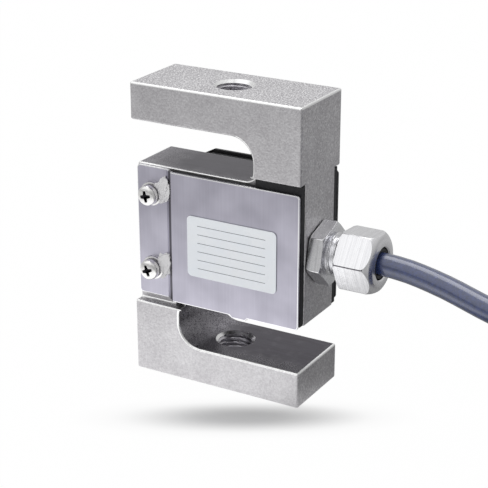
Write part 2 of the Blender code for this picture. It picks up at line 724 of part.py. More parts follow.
def build_nut():
    """Make the gland nut: a hexagon that runs out into a dome with a round mouth."""
    start, end = NUT_START, NUT_START + NUT_LENGTH
    hex_end = start + NUT_HEX_LENGTH
    inside = GLAND_RADIUS + CLEARANCE
    chamfered = HEX_CORNER_RADIUS - HEX_CHAMFER
    dome = [
        (HEX_CORNER_RADIUS - (HEX_CORNER_RADIUS - NUT_MOUTH_RADIUS) * (1 - math.cos(angle)),
         hex_end + NUT_DOME_LENGTH * math.sin(angle))
        for angle in (math.pi / 2 * step / CORNER_STEPS for step in range(CORNER_STEPS + 1))
    ]
    step_in = end - NUT_DOME_LENGTH / 2
    profile = [(inside, start), (chamfered, start), (HEX_CORNER_RADIUS, start + HEX_CHAMFER)]
    profile += dome
    profile += [(NUT_HOLE_RADIUS, end), (NUT_HOLE_RADIUS, step_in)]
    profile += [(inside, step_in - (inside - NUT_HOLE_RADIUS) / 2)]
    nut = place(turned("gland_nut", profile, ROUND_SIDES, "gland"), GLAND_PLACE, TURN_Z_TO_X)
    boolean(nut, hex_cutter("nut_hex_cutter", start - STACK_GAP, end + STACK_GAP, NUT_TURN_DEG))


def build_gauge(side, number, step):
    """Make one strain gauge, turned 45 degrees on the web."""
    half = (GAUGE_LENGTH / 2, GAUGE_WIDTH / 2, GAUGE_THICKNESS / 2)
    gauge = box(f"strain_gauge_{side_name(side)}_{number}", tuple(-size for size in half), half, "gauge")
    depth = side * (WEB_FACE + STACK_GAP + GAUGE_THICKNESS / 2)
    turn = Matrix.Rotation(math.pi / 2, 3, "X") @ Matrix.Rotation(step * math.pi / 4, 3, "Z")
    place(gauge, (step * GAUGE_SPREAD, depth, MIDDLE), turn.to_euler())


def build_board(side):
    """Make the terminal board above the gauges on one side of the web."""
    low = WEB_FACE + STACK_GAP
    depths = sorted((side * low, side * (low + BOARD_THICKNESS)))
    corner = (-BOARD_END, depths[0], BOARD_MIDDLE - BOARD_HEIGHT / 2)
    opposite = (BOARD_END, depths[1], BOARD_MIDDLE + BOARD_HEIGHT / 2)
    box(f"terminal_board_{side_name(side)}", corner, opposite, "board")


def build_jumper(side, number, step):
    """Make the wire from one gauge up to its pad at the board's left end."""
    on_gauge = WEB_FACE + STACK_GAP + GAUGE_THICKNESS + CLEARANCE + JUMPER_RADIUS
    on_board = WEB_FACE + STACK_GAP + BOARD_THICKNESS + CLEARANCE + JUMPER_RADIUS
    gauge_x = step * GAUGE_SPREAD
    pad_x = (number - 1) * JUMPER_SPACING - PAD_END
    route = (
        (gauge_x, side * on_gauge, MIDDLE + GAUGE_WIDTH / 2),
        ((gauge_x + pad_x) / 2, side * (on_board + CLEARANCE), (MIDDLE + BOARD_MIDDLE) / 2),
        (pad_x, side * on_board, BOARD_MIDDLE),
    )
    points = smooth_route(route, 4 * JUMPER_RADIUS)
    tube(f"jumper_wire_{side_name(side)}_{number}", points, JUMPER_RADIUS, "copper")


def build_core(name, finish, side, step):
    """Make one of the cable's cores, from the gland up to its pad at the board's right end."""
    on_board = WEB_FACE + STACK_GAP + BOARD_THICKNESS + CLEARANCE + CORE_RADIUS
    pad_x = PAD_END - CORE_SPACING * (1 - step) / 2
    start_z = MIDDLE + step * CORE_OFFSET
    turn_z = start_z + (BOARD_MIDDLE - start_z) * CORE_TURN_SHARE
    route = (
        (CABLE_INNER_START - CLEARANCE, side * CORE_OFFSET, start_z),
        (POCKET_SIDE - CORE_WALL_GAP, side * CORE_SPREAD, start_z),
        (pad_x + CORE_LEAN, side * (on_board + CORE_LIFT), turn_z),
        (pad_x, side * (on_board + CORE_LIFT / 2), BOARD_MIDDLE - BOARD_HEIGHT),
        (pad_x, side * on_board, BOARD_MIDDLE),
    )
    tube(name, smooth_route(route, 3 * CORE_RADIUS), CORE_RADIUS, finish)


def build_inside():
    """Make the gauges, boards and wires on both sides of the web."""
    for side in (-1, 1):
        build_board(side)
        for number, step in ((1, -1), (2, 1)):
            build_gauge(side, number, step)
            build_jumper(side, number, step)
    cores = (("red", -1, -1), ("black", -1, 1), ("green", 1, -1), ("white", 1, 1))
    for colour, side, step in cores:
        build_core(f"core_wire_{colour}", colour, side, step)


def build_cable_inner():
    """Make the stretch of cable inside the gland."""
    end = GLAND_EXIT - CLEARANCE
    profile = ((0, CABLE_INNER_START), (CABLE_RADIUS, CABLE_INNER_START), (CABLE_RADIUS, end), (0, end))
    place(turned("cable_inner", profile, SMALL_SIDES, "cable"), (0, 0, MIDDLE), TURN_Z_TO_X)


def build_lead():
    """Make the lead from the gland to the hank."""
    points = smooth_route(LEAD_ROUTE, 2 * CABLE_DIAMETER)
    tube("cable_lead", points, CABLE_RADIUS, "cable", 3)


def build_hank():
    """Make the hank's outer shape, with a notch where the lead joins and one where the tail leaves."""
    steps = 3 * ARC_STEPS
    outer = racetrack(HANK_OUTSIDE, steps)
    inner = racetrack(HANK_INSIDE, steps)
    hank = ring_prism("cable_hank", outer, inner, HANK_BASE, HANK_TOP, "cable")
    bevel_edges(hank, HANK_ROUNDING, 3)
    left = HANK_START - CUT_OVER
    front = HANK_Y - HANK_OUTSIDE
    rear = HANK_Y + HANK_OUTSIDE
    lead_low = HANK_TOP - CABLE_DIAMETER - CLEARANCE
    lead_notch = box(
        "lead_notch_cutter",
        (left, front - CUT_OVER, lead_low),
        (HANK_LEFT, front + LEAD_NOTCH_WIDTH, HANK_TOP + CUT_OVER),
    )
    tail_notch = box(
        "tail_notch_cutter",
        (left, rear - CABLE_DIAMETER - 2 * CLEARANCE, HANK_BASE - CUT_OVER),
        (HANK_LEFT, rear + CUT_OVER, HANK_BASE + CABLE_DIAMETER + CLEARANCE),
    )
    boolean(hank, cutter(lead_notch))
    boolean(hank, cutter(tail_notch))


def build_tie(name, low_y, high_y, x):
    """Make a tie round one of the hank's two bundles."""
    low = (low_y - CLEARANCE, HANK_BASE - CLEARANCE)
    high = (high_y + CLEARANCE, HANK_TOP + CLEARANCE)
    inner = rounded_rectangle(low, high, HANK_ROUNDING + CLEARANCE)
    wide_low = (low[0] - TIE_THICKNESS, low[1] - TIE_THICKNESS)
    wide_high = (high[0] + TIE_THICKNESS, high[1] + TIE_THICKNESS)
    outer = rounded_rectangle(wide_low, wide_high, HANK_ROUNDING + CLEARANCE + TIE_THICKNESS)
    tie = ring_prism(name, outer, inner, x - TIE_WIDTH / 2, x + TIE_WIDTH / 2, "tie")
    tie.rotation_euler = TURN_Z_TO_X


def build_tail():
    """Make the end of the jacket and the bare conductors that fan out of it."""
    start = HANK_LEFT - CLEARANCE
    end = start - TAIL_LENGTH
    height = HANK_BASE + CABLE_RADIUS
    tail = ((start, TRACK_REAR, height), (end, TRACK_REAR, height))
    tube("cable_tail", tail, CABLE_RADIUS, "cable", 3)
    floor = CONDUCTOR_RADIUS + STACK_GAP
    middle = TRACK_REAR - CONDUCTOR_RADIUS
    first = end - CLEARANCE
    for name, colour, angle_deg, offset in CONDUCTORS:
        angle = math.radians(angle_deg)
        start_y = TRACK_REAR + CONDUCTOR_CIRCLE * math.cos(angle)
        start_z = height + CONDUCTOR_CIRCLE * math.sin(angle)
        end_y = middle + offset * CONDUCTOR_FAN
        route = (
            (first, start_y, start_z),
            (first - CONDUCTOR_LENGTH / 4, (2 * start_y + end_y) / 3, (start_z + height) / 2),
            (first - CONDUCTOR_LENGTH / 2, (start_y + 2 * end_y) / 3, (floor + height) / 2),
            (first - 3 * CONDUCTOR_LENGTH / 4, end_y, floor + CONDUCTOR_RADIUS),
            (first - CONDUCTOR_LENGTH, end_y, floor),
        )
        tube(name, smooth_route(route, 3 * CONDUCTOR_RADIUS), CONDUCTOR_RADIUS, colour)


def build_cable():
    """Make the cable: inside the gland, the lead, the tied hank and the bare end."""
    build_cable_inner()
    build_lead()
    build_hank()
    front, rear = HANK_Y - HANK_OUTSIDE, HANK_Y + HANK_OUTSIDE
    bundle = 2 * HANK_HALF_BUNDLE
    build_tie("hank_tie_front", front, front + bundle, HANK_LEFT + TIE_FROM_RUN_END)
    build_tie("hank_tie_rear", rear - bundle, rear, HANK_RIGHT - TIE_FROM_RUN_END)
    build_tail()


def main():
    """Build every piece of the load cell."""
    clear_scene()
    build_body()
    build_cover(-1, 0.0, "cover")
    build_cover(1, REAR_COVER_LIFT, "rear_cover")
    for side in (-1, 1):
        build_gasket(side)
        for name, location in screw_places(side):
            build_screw(side, name, location)
    build_label()
    build_gland_body()
    build_o_ring()
    build_seal()
    build_thrust_washer()
    build_nut()
    build_inside()
    build_cable()


main()
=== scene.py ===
"""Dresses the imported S-shaped load cell for its picture.

Everything is in metres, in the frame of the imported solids. The origin is the bottom centre of the block,
+Z is up, the cable leaves towards +X and the data plate faces -Y.
"""

import logging
import math
from collections.abc import Sequence
from dataclasses import dataclass
from enum import Enum, IntEnum

import bmesh
import bpy
from mathutils import Matrix, Vector, noise


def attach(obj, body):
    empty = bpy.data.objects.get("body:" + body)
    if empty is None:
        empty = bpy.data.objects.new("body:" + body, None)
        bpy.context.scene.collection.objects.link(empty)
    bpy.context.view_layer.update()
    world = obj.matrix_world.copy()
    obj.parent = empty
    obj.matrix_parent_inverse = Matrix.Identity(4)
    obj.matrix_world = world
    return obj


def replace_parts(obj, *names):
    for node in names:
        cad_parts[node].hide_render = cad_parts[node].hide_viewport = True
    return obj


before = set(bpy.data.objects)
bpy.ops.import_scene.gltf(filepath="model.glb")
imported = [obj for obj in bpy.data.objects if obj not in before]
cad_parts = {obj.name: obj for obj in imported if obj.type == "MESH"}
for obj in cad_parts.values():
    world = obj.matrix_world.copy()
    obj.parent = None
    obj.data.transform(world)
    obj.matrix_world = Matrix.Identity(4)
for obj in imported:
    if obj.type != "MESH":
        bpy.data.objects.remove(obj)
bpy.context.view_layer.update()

BODY = "root"
LOG = logging.getLogger("load_cell")

# The most by which two faces that only touch may differ, in metres.
HAIR = 0.0001

Flat = tuple[float, float]
Place = tuple[float, float, float]
Sizes = tuple[float, float, float]
Piece = bpy.types.Object
Tree = bpy.types.NodeTree
Node = bpy.types.Node
Socket = bpy.types.NodeSocket


class Side(Enum):
    """The two faces of the block that carry a cover."""

    FRONT = -1
    REAR = 1

    @property
    def word(self) -> str:
        """The word that the nodes of this side are named with."""
        return self.name.lower()

    @property
    def turn(self) -> Matrix:
        """The rotation that points local Z out of this side."""
        return Matrix.Rotation(-self.value * math.pi / 2, 4, "X")


class BlockFace(IntEnum):
    """The finishes of the block's faces, in the order of its material slots."""

    BLASTED = 0
    # White painted highlight on the rounded edges that face up and on the countersinks.
    RUBBED = 1
    # Painted shade in the two slots.
    MILLED = 2
    THREAD = 3


# Turns local Z to the cable's direction.
ALONG_CABLE = Matrix(((0, 0, 1, 0), (1, 0, 0, 0), (0, 1, 0, 0), (0, 0, 0, 1)))


@dataclass(frozen=True)
class Plan:
    """The sizes of the block and covers that several pieces share."""

    width: float = 0.0508
    depth: float = 0.022
    core_height: float = 0.037
    arm: float = 0.0102
    slot: float = 0.0125
    column: float = 0.0139
    recess_depth: float = 0.003
    ledge: float = 0.0021
    clearance: float = 0.0003
    sheet: float = 0.0008
    flange_width: float = 0.0093
    joggle_run: float = 0.0026
    pocket_land: float = 0.0027
    pocket_end_wall: float = 0.005
    screw_from_end: float = 0.00785

    @property
    def half_width(self) -> float:
        """Half of the block's width."""
        return self.width / 2

    @property
    def half_depth(self) -> float:
        """Half of the block's depth."""
        return self.depth / 2

    @property
    def core_bottom(self) -> float:
        """Height of the middle block's lower face."""
        return self.arm + self.slot

    @property
    def core_top(self) -> float:
        """Height of the middle block's upper face."""
        return self.core_bottom + self.core_height

    @property
    def height(self) -> float:
        """Height of the whole block."""
        return self.core_top + self.core_bottom

    @property
    def middle(self) -> float:
        """Height of the cable's axis."""
        return self.height / 2

    @property
    def recess_floor(self) -> float:
        """Distance of the recess floors from the block's middle plane."""
        return self.half_depth - self.recess_depth

    @property
    def flange_face(self) -> float:
        """Distance of a cover's screwed flange from the block's middle plane."""
        return self.recess_floor + self.clearance + self.sheet

    @property
    def cover_side(self) -> float:
        """Half of a cover's width."""
        return self.half_width - self.clearance

    @property
    def joggle_start(self) -> float:
        """Where the flange ends."""
        return self.flange_width - self.cover_side

    @property
    def joggle_end(self) -> float:
        """Where the raised panel starts."""
        return self.joggle_start + self.joggle_run

    @property
    def pocket_side(self) -> float:
        """Half of a gauge pocket's width."""
        return -self.joggle_end - self.pocket_land

    @property
    def screw_places(self) -> tuple[tuple[str, float, float], ...]:
        """Name, x and z of the cover screws of one side."""
        x = (self.joggle_start - self.cover_side) / 2
        low, high = self.core_bottom + self.screw_from_end, self.core_top - self.screw_from_end
        return (("lower", x, low), ("upper", x, high))


PLAN = Plan()


def linear(colour: str) -> tuple[float, float, float, float]:
    """Turn an sRGB hex colour to linear red, green, blue and alpha.

    Args:
        colour: six hex digits.

    Returns:
        The four linear values.
    """
    parts = (int(colour[start : start + 2], 16) / 255 for start in (0, 2, 4))
    red, green, blue = (c / 12.92 if c <= 0.04045 else ((c + 0.055) / 1.055) ** 2.4 for c in parts)
    return (red, green, blue, 1.0)


def add(tree: Tree, kind: str, takes: dict | None = None, **settings: object) -> Node:
    """Add a node with its settings and links.

    Args:
        tree: the tree that gets the node.
        kind: the node's type.
        takes: what each input takes, a socket to link or a value to set, by the input's name or number.
        settings: the node's own properties.

    Returns:
        The new node.
    """
    node = tree.nodes.new(kind)
    for name, value in settings.items():
        setattr(node, name, value)
    for key, value in (takes or {}).items():
        if isinstance(value, Socket):
            tree.links.new(value, node.inputs[key])
        else:
            node.inputs[key].default_value = value
    return node


def numbered(terms: Sequence[object], known: dict[str, Socket]) -> dict[int, object]:
    """Number what a node takes, with each name replaced by the socket that it stands for.

    Args:
        terms: numbers, sockets and names, in the order of the node's inputs.
        known: the named sockets.

    Returns:
        What each input takes.
    """
    return {number: known[term] if isinstance(term, str) else term for number, term in enumerate(terms)}


def link(name: str, data: bpy.types.ID | None) -> Piece:
    """Put a new object that holds the data into the scene.

    Args:
        name: the object's name.
        data: its mesh, curve, lamp or camera.

    Returns:
        The new object.
    """
    obj = bpy.data.objects.new(name, data)
    bpy.context.scene.collection.objects.link(obj)
    return obj


def mesh_piece(name: str, bm: bmesh.types.BMesh, turn: Matrix | None = None) -> Piece:
    """Make an object from a bmesh, with its faces pointing out and its place in its mesh.

    Args:
        name: the object's name.
        bm: the shape, which is freed.
        turn: where the shape goes.

    Returns:
        The new object.
    """
    bmesh.ops.recalc_face_normals(bm, faces=bm.faces)
    if turn is not None:
        bm.transform(turn)
    mesh = bpy.data.meshes.new(name)
    bm.to_mesh(mesh)
    bm.free()
    return link(name, mesh)


def arc(centre: Flat, radius: float, start: float, end: float, steps: int) -> list[Flat]:
    """List the points of an arc, both ends included.

    Args:
        centre: middle of the circle.
        radius: its radius.
        start: first angle in degrees.
        end: last angle in degrees.
        steps: number of steps.

    Returns:
        The points.
    """
    angles = [math.radians(start + (end - start) * step / steps) for step in range(steps + 1)]
    return [(centre[0] + radius * math.cos(a), centre[1] + radius * math.sin(a)) for a in angles]


def rounded_rectangle(low: Flat, high: Flat, radius: float, steps: int = 8) -> list[Flat]:
    """List the outline of a rectangle with round corners, anticlockwise.

    Args:
        low: lowest corner.
        high: highest corner.
        radius: the corners' radius.
        steps: steps of each corner.

    Returns:
        The points.
    """
    x0, y0, x1, y1 = low[0] + radius, low[1] + radius, high[0] - radius, high[1] - radius
    outline = arc((x1, y0), radius, -90, 0, steps) + arc((x1, y1), radius, 0, 90, steps)
    return outline + arc((x0, y1), radius, 90, 180, steps) + arc((x0, y0), radius, 180, 270, steps)


def rounded_bends(corners: Sequence[Flat], radius: float, steps: int = 6) -> list[Flat]:
    """Round every bend of an open line, and leave its ends.

    Args:
        corners: the line's points.
        radius: the bends' radius.
        steps: steps of each bend.

    Returns:
        The rounded line.
    """
    line = [corners[0]]
    for before, corner, after in zip(corners, corners[1:], corners[2:]):
        at = Vector(corner)
        back, on = (Vector(before) - at).normalized(), (Vector(after) - at).normalized()
        half = back.angle(on) / 2
        shorter = min((Vector(before) - at).length, (Vector(after) - at).length)
        reach = min(radius / math.tan(half), 0.45 * shorter)
        start, end = at + back * reach, at + on * reach
        for step in range(steps + 1):
            t = step / steps
            point = (1 - t) ** 2 * start + 2 * t * (1 - t) * at + t * t * end
            line.append((point.x, point.y))
    return line + [corners[-1]]


def prism(name: str, outline: Sequence[Flat], low: float, high: float, turn: Matrix | None = None) -> Piece:
    """Extrude a flat outline along local Z.

    Args:
        name: the object's name.
        outline: the outline's points.
        low: where it starts.
        high: where it ends.
        turn: where the shape goes.

    Returns:
        The new object.
    """
    bm = bmesh.new()
    bottom = [bm.verts.new((x, y, low)) for x, y in outline]
    top = [bm.verts.new((x, y, high)) for x, y in outline]
    bm.faces.new(bottom)
    bm.faces.new(top)
    for index in range(len(outline)):
        after = (index + 1) % len(outline)
        bm.faces.new((bottom[index], bottom[after], top[after], top[index]))
    return mesh_piece(name, bm, turn)


def lathe(name: str, profile: Sequence[Flat], sides: int, turn: Matrix | None = None) -> Piece:
    """Turn a profile about local Z: a solid where it starts and ends on the axis, and otherwise a ring.

    Args:
        name: the object's name.
        profile: points of radius and height.
        sides: number of sides.
        turn: where the shape goes.

    Returns:
        The new object.
    """
    bm = bmesh.new()
    rings = []
    for radius, height in profile:
        if radius == 0:
            rings.append([bm.verts.new((0, 0, height))] * sides)
            continue
        angles = (2 * math.pi * side / sides for side in range(sides))
        rings.append([bm.verts.new((radius * math.cos(a), radius * math.sin(a), height)) for a in angles])
    following = rings[1:] if profile[0][0] == 0 else rings[1:] + rings[:1]
    for ring, other in zip(rings, following):
        for side in range(sides):
            after = (side + 1) % sides
            corners = (ring[side], ring[after], other[after], other[side])
            bm.faces.new(list(dict.fromkeys(corners)))
    return mesh_piece(name, bm, turn)


def box(name: str, low: Place, high: Place) -> Piece:
    """Make a box from its lowest and highest corners.

    Args:
        name: the object's name.
        low: lowest corner.
        high: highest corner.

    Returns:
        The new object.
    """
    outline = ((low[0], low[1]), (high[0], low[1]), (high[0], high[1]), (low[0], high[1]))
    return prism(name, outline, low[2], high[2])


def cut(obj: Piece, *tools: Piece, operation: str = "DIFFERENCE") -> Piece:
    """Cut or trim an object with tools, and remove the tools.

    Args:
        obj: the object that is cut.
        tools: what cuts it.
        operation: the Boolean operation.

    Returns:
        The same object.
    """
    for tool in tools:
        modifier = obj.modifiers.new(tool.name, "BOOLEAN")
        modifier.operation = operation
        modifier.solver = "EXACT"
        modifier.object = tool
    settle(obj)
    for tool in tools:
        bpy.data.objects.remove(tool, do_unlink=True)
    return obj


def settle(obj: Piece) -> Piece:
    """Turn an object's modifiers into its plain mesh.

    Args:
        obj: the object.

    Returns:
        The same object, without modifiers.
    """
    seen = obj.evaluated_get(bpy.context.evaluated_depsgraph_get())
    mesh = bpy.data.meshes.new_from_object(seen)
    obj.modifiers.clear()
    obj.data = mesh
    return obj


def break_edges(
    obj: Piece, width: float, segments: int, above: float = 40, clamped: bool = True, rim: int = -1
) -> Piece:
    """Round an object's sharp edges.

    Args:
        obj: the object.
        width: the rounding's width.
        segments: its steps.
        above: the least angle in degrees that is rounded.
        clamped: whether the rounding stops where it would meet another.
        rim: number of the finish that the rounding gets, or -1 for its neighbour's.

    Returns:
        The same object.
    """
    bevel = obj.modifiers.new("rounding", "BEVEL")
    bevel.width = width
    bevel.segments = segments
    bevel.limit_method = "ANGLE"
    bevel.angle_limit = math.radians(above)
    bevel.use_clamp_overlap = clamped
    bevel.material = rim
    return settle(obj)


def shade(obj: Piece, sharp: float = 35) -> Piece:
    """Shade an object smoothly, with its flat faces kept flat.

    Args:
        obj: the object.
        sharp: the angle in degrees from which an edge stays sharp.

    Returns:
        The same object.
    """
    obj.data.shade_smooth()
    obj.data.set_sharp_from_angle(angle=math.radians(sharp))
    weighted = obj.modifiers.new("flat faces", "WEIGHTED_NORMAL")
    weighted.keep_sharp = True
    weighted.weight = 90
    return settle(obj)


def smooth_line(route: Sequence[Place], spacing: float) -> list[Vector]:
    """List points on the smooth line through a route.

    Args:
        route: the points that it goes through.
        spacing: rough distance between points.

    Returns:
        The points.
    """
    places = [Vector(place) for place in route]
    places = [2 * places[0] - places[1], *places, 2 * places[-1] - places[-2]]
    points = [places[1]]
    for before, start, end, after in zip(places, places[1:], places[2:], places[3:]):
        steps = max(1, round((end - start).length / spacing))
        for step in range(1, steps + 1):
            t = step / steps
            bend = 2 * start + t * (end - before)
            bend += t * t * (2 * before - 5 * start + 4 * end - after)
            bend += t * t * t * (3 * start - before - 3 * end + after)
            points.append(bend / 2)
    return points


def round_curve(name: str, points: Sequence[Vector], radius: float, resolution: int = 4) -> Piece:
    """Make a round curve of one open spline, with closed ends.

    Args:
        name: the object's name.
        points: the points of its centreline.
        radius: its radius.
        resolution: steps of a quarter of its section.

    Returns:
        The new object.
    """
    curve = bpy.data.curves.new(name, "CURVE")
    curve.dimensions = "3D"
    curve.bevel_depth = radius
    curve.bevel_resolution = resolution
    curve.use_fill_caps = True
    spline = curve.splines.new("POLY")
    spline.points.add(len(points) - 1)
    for point, place in zip(spline.points, points):
        point.co = (*place, 1.0)
    spline.use_smooth = True
    return link(name, curve)


@dataclass(frozen=True)
class Finish:
    """A finish of one colour and roughness, which its kinds add their pattern to."""

    title: str
    slot: str
    colour: str
    roughness: float
    # How much smoother and rougher the surface gets in places.
    wander: Flat = (0.05, 0.07)
    # Strength of the relief, and what its full height stands for in metres.
    bump: Flat = (0.2, 0.00001)

    def material(self) -> bpy.types.Material:
        """Return the finish's material, made on its first use."""
        made = bpy.data.materials.get(self.title)
        if made:
            return made
        made = bpy.data.materials.new(self.title)
        made.use_nodes = True
        tree = made.node_tree
        shader = tree.nodes["Principled BSDF"]
        shader.inputs["Base Color"].default_value = linear(self.colour)
        shader.inputs["Roughness"].default_value = self.roughness
        made.diffuse_color = linear(self.colour)
        self.dress(tree, shader, add(tree, "ShaderNodeTexCoord").outputs["Object"])
        return made

    def dress(self, tree: Tree, shader: Node, place: Socket) -> None:
        """Give the shader the finish's pattern.

        Args:
            tree: the material's tree.
            shader: its Principled node.
            place: the object's coordinates.
        """

    def gloss(self, tree: Tree, place: Socket, grain: float) -> Socket:
        """Give the roughness, which wanders a little over the surface.

        Args:
            tree: the material's tree.
            place: the coordinates it is read at.
            grain: size of one patch in metres.

        Returns:
            The roughness's socket.
        """
        smoother, rougher = self.wander
        return varied(tree, place, grain, self.roughness - smoother, self.roughness + rougher)

    def lay(
        self,
        tree: Tree,
        shader: Node,
        base: str,
        layers: Sequence[tuple[Socket, str]],
        rough: Socket,
        height: Socket,
    ) -> None:
        """Lead a pattern's colours, roughness and relief to the shader.

        Args:
            tree: the material's tree.
            shader: its Principled node.
            base: the lowest colour.
            layers: share and colour of each layer over it.
            rough: the roughness.
            height: the relief, from 0 to 1.
        """
        shown = linear(base)
        for share, colour in layers:
            takes = {0: share, 6: shown, 7: linear(colour)}
            shown = add(tree, "ShaderNodeMix", takes, data_type="RGBA").outputs[2]
        takes = {"Height": height, "Strength": self.bump[0], "Distance": self.bump[1]}
        normal = add(tree, "ShaderNodeBump", takes).outputs["Normal"]
        for name, socket in (("Base Color", shown), ("Roughness", rough), ("Normal", normal)):
            tree.links.new(socket, shader.inputs[name])

    def put_on(self, obj: Piece, *others: "Finish") -> Piece:
        """Dress a new piece and let it ride.

        Args:
            obj: the piece.
            others: finishes of the faces that are numbered 1 and up.

        Returns:
            The same piece.
        """
        numbers = [face.material_index for face in obj.data.polygons] if others else []
        obj.data.materials.clear()
        for finish in (self, *others):
            obj.data.materials.append(finish.material())
        if others:
            obj.data.polygons.foreach_set("material_index", numbers)
        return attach(obj, BODY)


def varied(tree: Tree, place: Socket, grain: float, low: float, high: float, **takes: float) -> Socket:
    """Give a value that wanders between two limits over the surface.

    Args:
        tree: the material's tree.
        place: the coordinates it is read at.
        grain: size of one patch in metres.
        low: the least value.
        high: the greatest value.
        takes: other inputs of the noise.

    Returns:
        The socket of the value.
    """
    cloud = add(tree, "ShaderNodeTexNoise", {"Vector": place, "Scale": 1 / grain, **takes})
    limits = {"Value": cloud.outputs["Fac"], "From Min": 0.3, "From Max": 0.7, "To Min": low, "To Max": high}
    return add(tree, "ShaderNodeMapRange", limits).outputs["Result"]


@dataclass(frozen=True)
class BlastedNickel(Finish):
    """Alloy steel, bead blasted and nickel plated."""

    bump: Flat = (0.75, 0.00005)
    shadow: str = "B3B1B4"
    # The beads' dents are about 0.1 mm wide, and drawn coarser so that they show.
    grain: float = 0.00045
    cloud: float = 0.007
    shares: Flat = (0.65, 0.35)
    # Shift of the pattern and colour of the painted light and dark flecks, which show only on faces that look
    # up.
    flecks: tuple[tuple[float, str], ...] = ((0.0, "FFFFFF"), (0.04, "77757B"))
    open_to: Place = (0.35, 0.0, 1.0)

    def dress(self, tree: Tree, shader: Node, place: Socket) -> None:
        """Add the beads' speckle, drawn coarser than 0.1 mm so that it shows, faint clouds, and painted
        glints of light and dark on the faces that look up.
        """
        shader.inputs["Metallic"].default_value = 1.0
        speck = varied(tree, place, self.grain, 0.0, 1.0, Detail=1.0, Roughness=0.6)
        cloud = varied(tree, place, self.cloud, 0.0, 1.0, Detail=3.0)
        both = add(tree, "ShaderNodeMath", {0: speck, 1: self.shares[0]}, operation="MULTIPLY").outputs[0]
        takes = {0: cloud, 1: self.shares[1], 2: both}
        both = add(tree, "ShaderNodeMath", takes, operation="MULTIPLY_ADD").outputs[0]
        layers = [(both, self.colour)]
        # Painted glints: the flecks grow with how far a face looks up, so the top sparkles as if lit from
        # above.
        takes = {0: add(tree, "ShaderNodeNewGeometry").outputs["Normal"], 1: self.open_to}
        facing = add(tree, "ShaderNodeVectorMath", takes, operation="DOT_PRODUCT").outputs["Value"]
        for seed, colour in self.flecks:
            moved = add(tree, "ShaderNodeVectorMath", {0: place, 1: (seed, seed, seed)}).outputs[0]
            takes = {0: varied(tree, moved, self.grain, -0.7, 0.75, Detail=1.0), 1: facing}
            share = add(tree, "ShaderNodeMath", takes, operation="MULTIPLY", use_clamp=True).outputs[0]
            layers.append((share, colour))
        rough = self.gloss(tree, place, 2 * self.grain)
        self.lay(tree, shader, self.shadow, layers, rough, speck)


@dataclass(frozen=True)
class MilledNickel(Finish):
    """The same steel where the slots were milled: smoother, darker by painted shade, and blasted again along
    the front.
    """

    bump: Flat = (0.25, 0.00003)
    shadow: str = "47444B"
    blasted: str = "B4B2B7"
    # The cutter's marks lie about 0.1 mm apart, and are drawn coarser so that they show.
    line: float = 0.0004
    grain: float = 0.0003
    patch: float = 0.003
    faded_at: float = -0.012

    def dress(self, tree: Tree, shader: Node, place: Socket) -> None:
        """Add the cutter's faint lines, and the beads' specks where they reached into the slots."""
        shader.inputs["Metallic"].default_value = 1.0
        along = add(tree, "ShaderNodeMapping", {"Vector": place, "Scale": (0.05, 1.0, 1.0)}).outputs[0]
        lines = varied(tree, along, self.line, 0.0, 1.0, Detail=2.0)
        spot = add(tree, "ShaderNodeSeparateXYZ", {0: place}).outputs
        low = add(tree, "ShaderNodeMath", {0: spot["Z"], 1: PLAN.middle}, operation="LESS_THAN").outputs[0]
        takes = {0: low, 1: -PLAN.column, 2: spot["X"]}
        inwards = add(tree, "ShaderNodeMath", takes, operation="MULTIPLY_ADD").outputs[0]
        reach = varied(tree, place, self.patch, -0.3, 0.1)
        for takes in (
            {0: spot["Y"], 1: -PLAN.half_depth, 2: -PLAN.half_depth / 3, 3: 0.9, 4: 0.0},
            {0: inwards, 1: -PLAN.half_width, 2: self.faded_at, 3: 1.2, 4: 0.0},
        ):
            faded = add(tree, "ShaderNodeMapRange", takes).outputs[0]
            reach = add(tree, "ShaderNodeMath", {0: reach, 1: faded}).outputs[0]
        speck = varied(tree, place, self.grain, 0.0, 0.9, Detail=1.0)
        takes = {0: reach, 1: speck}
        blasted = add(tree, "ShaderNodeMath", takes, operation="MULTIPLY", use_clamp=True).outputs[0]
        takes = {0: blasted, 3: self.roughness, 4: BLOCK_STEEL.roughness}
        rough = add(tree, "ShaderNodeMapRange", takes).outputs[0]
        layers = ((lines, self.colour), (blasted, self.blasted))
        self.lay(tree, shader, self.shadow, layers, rough, speck)


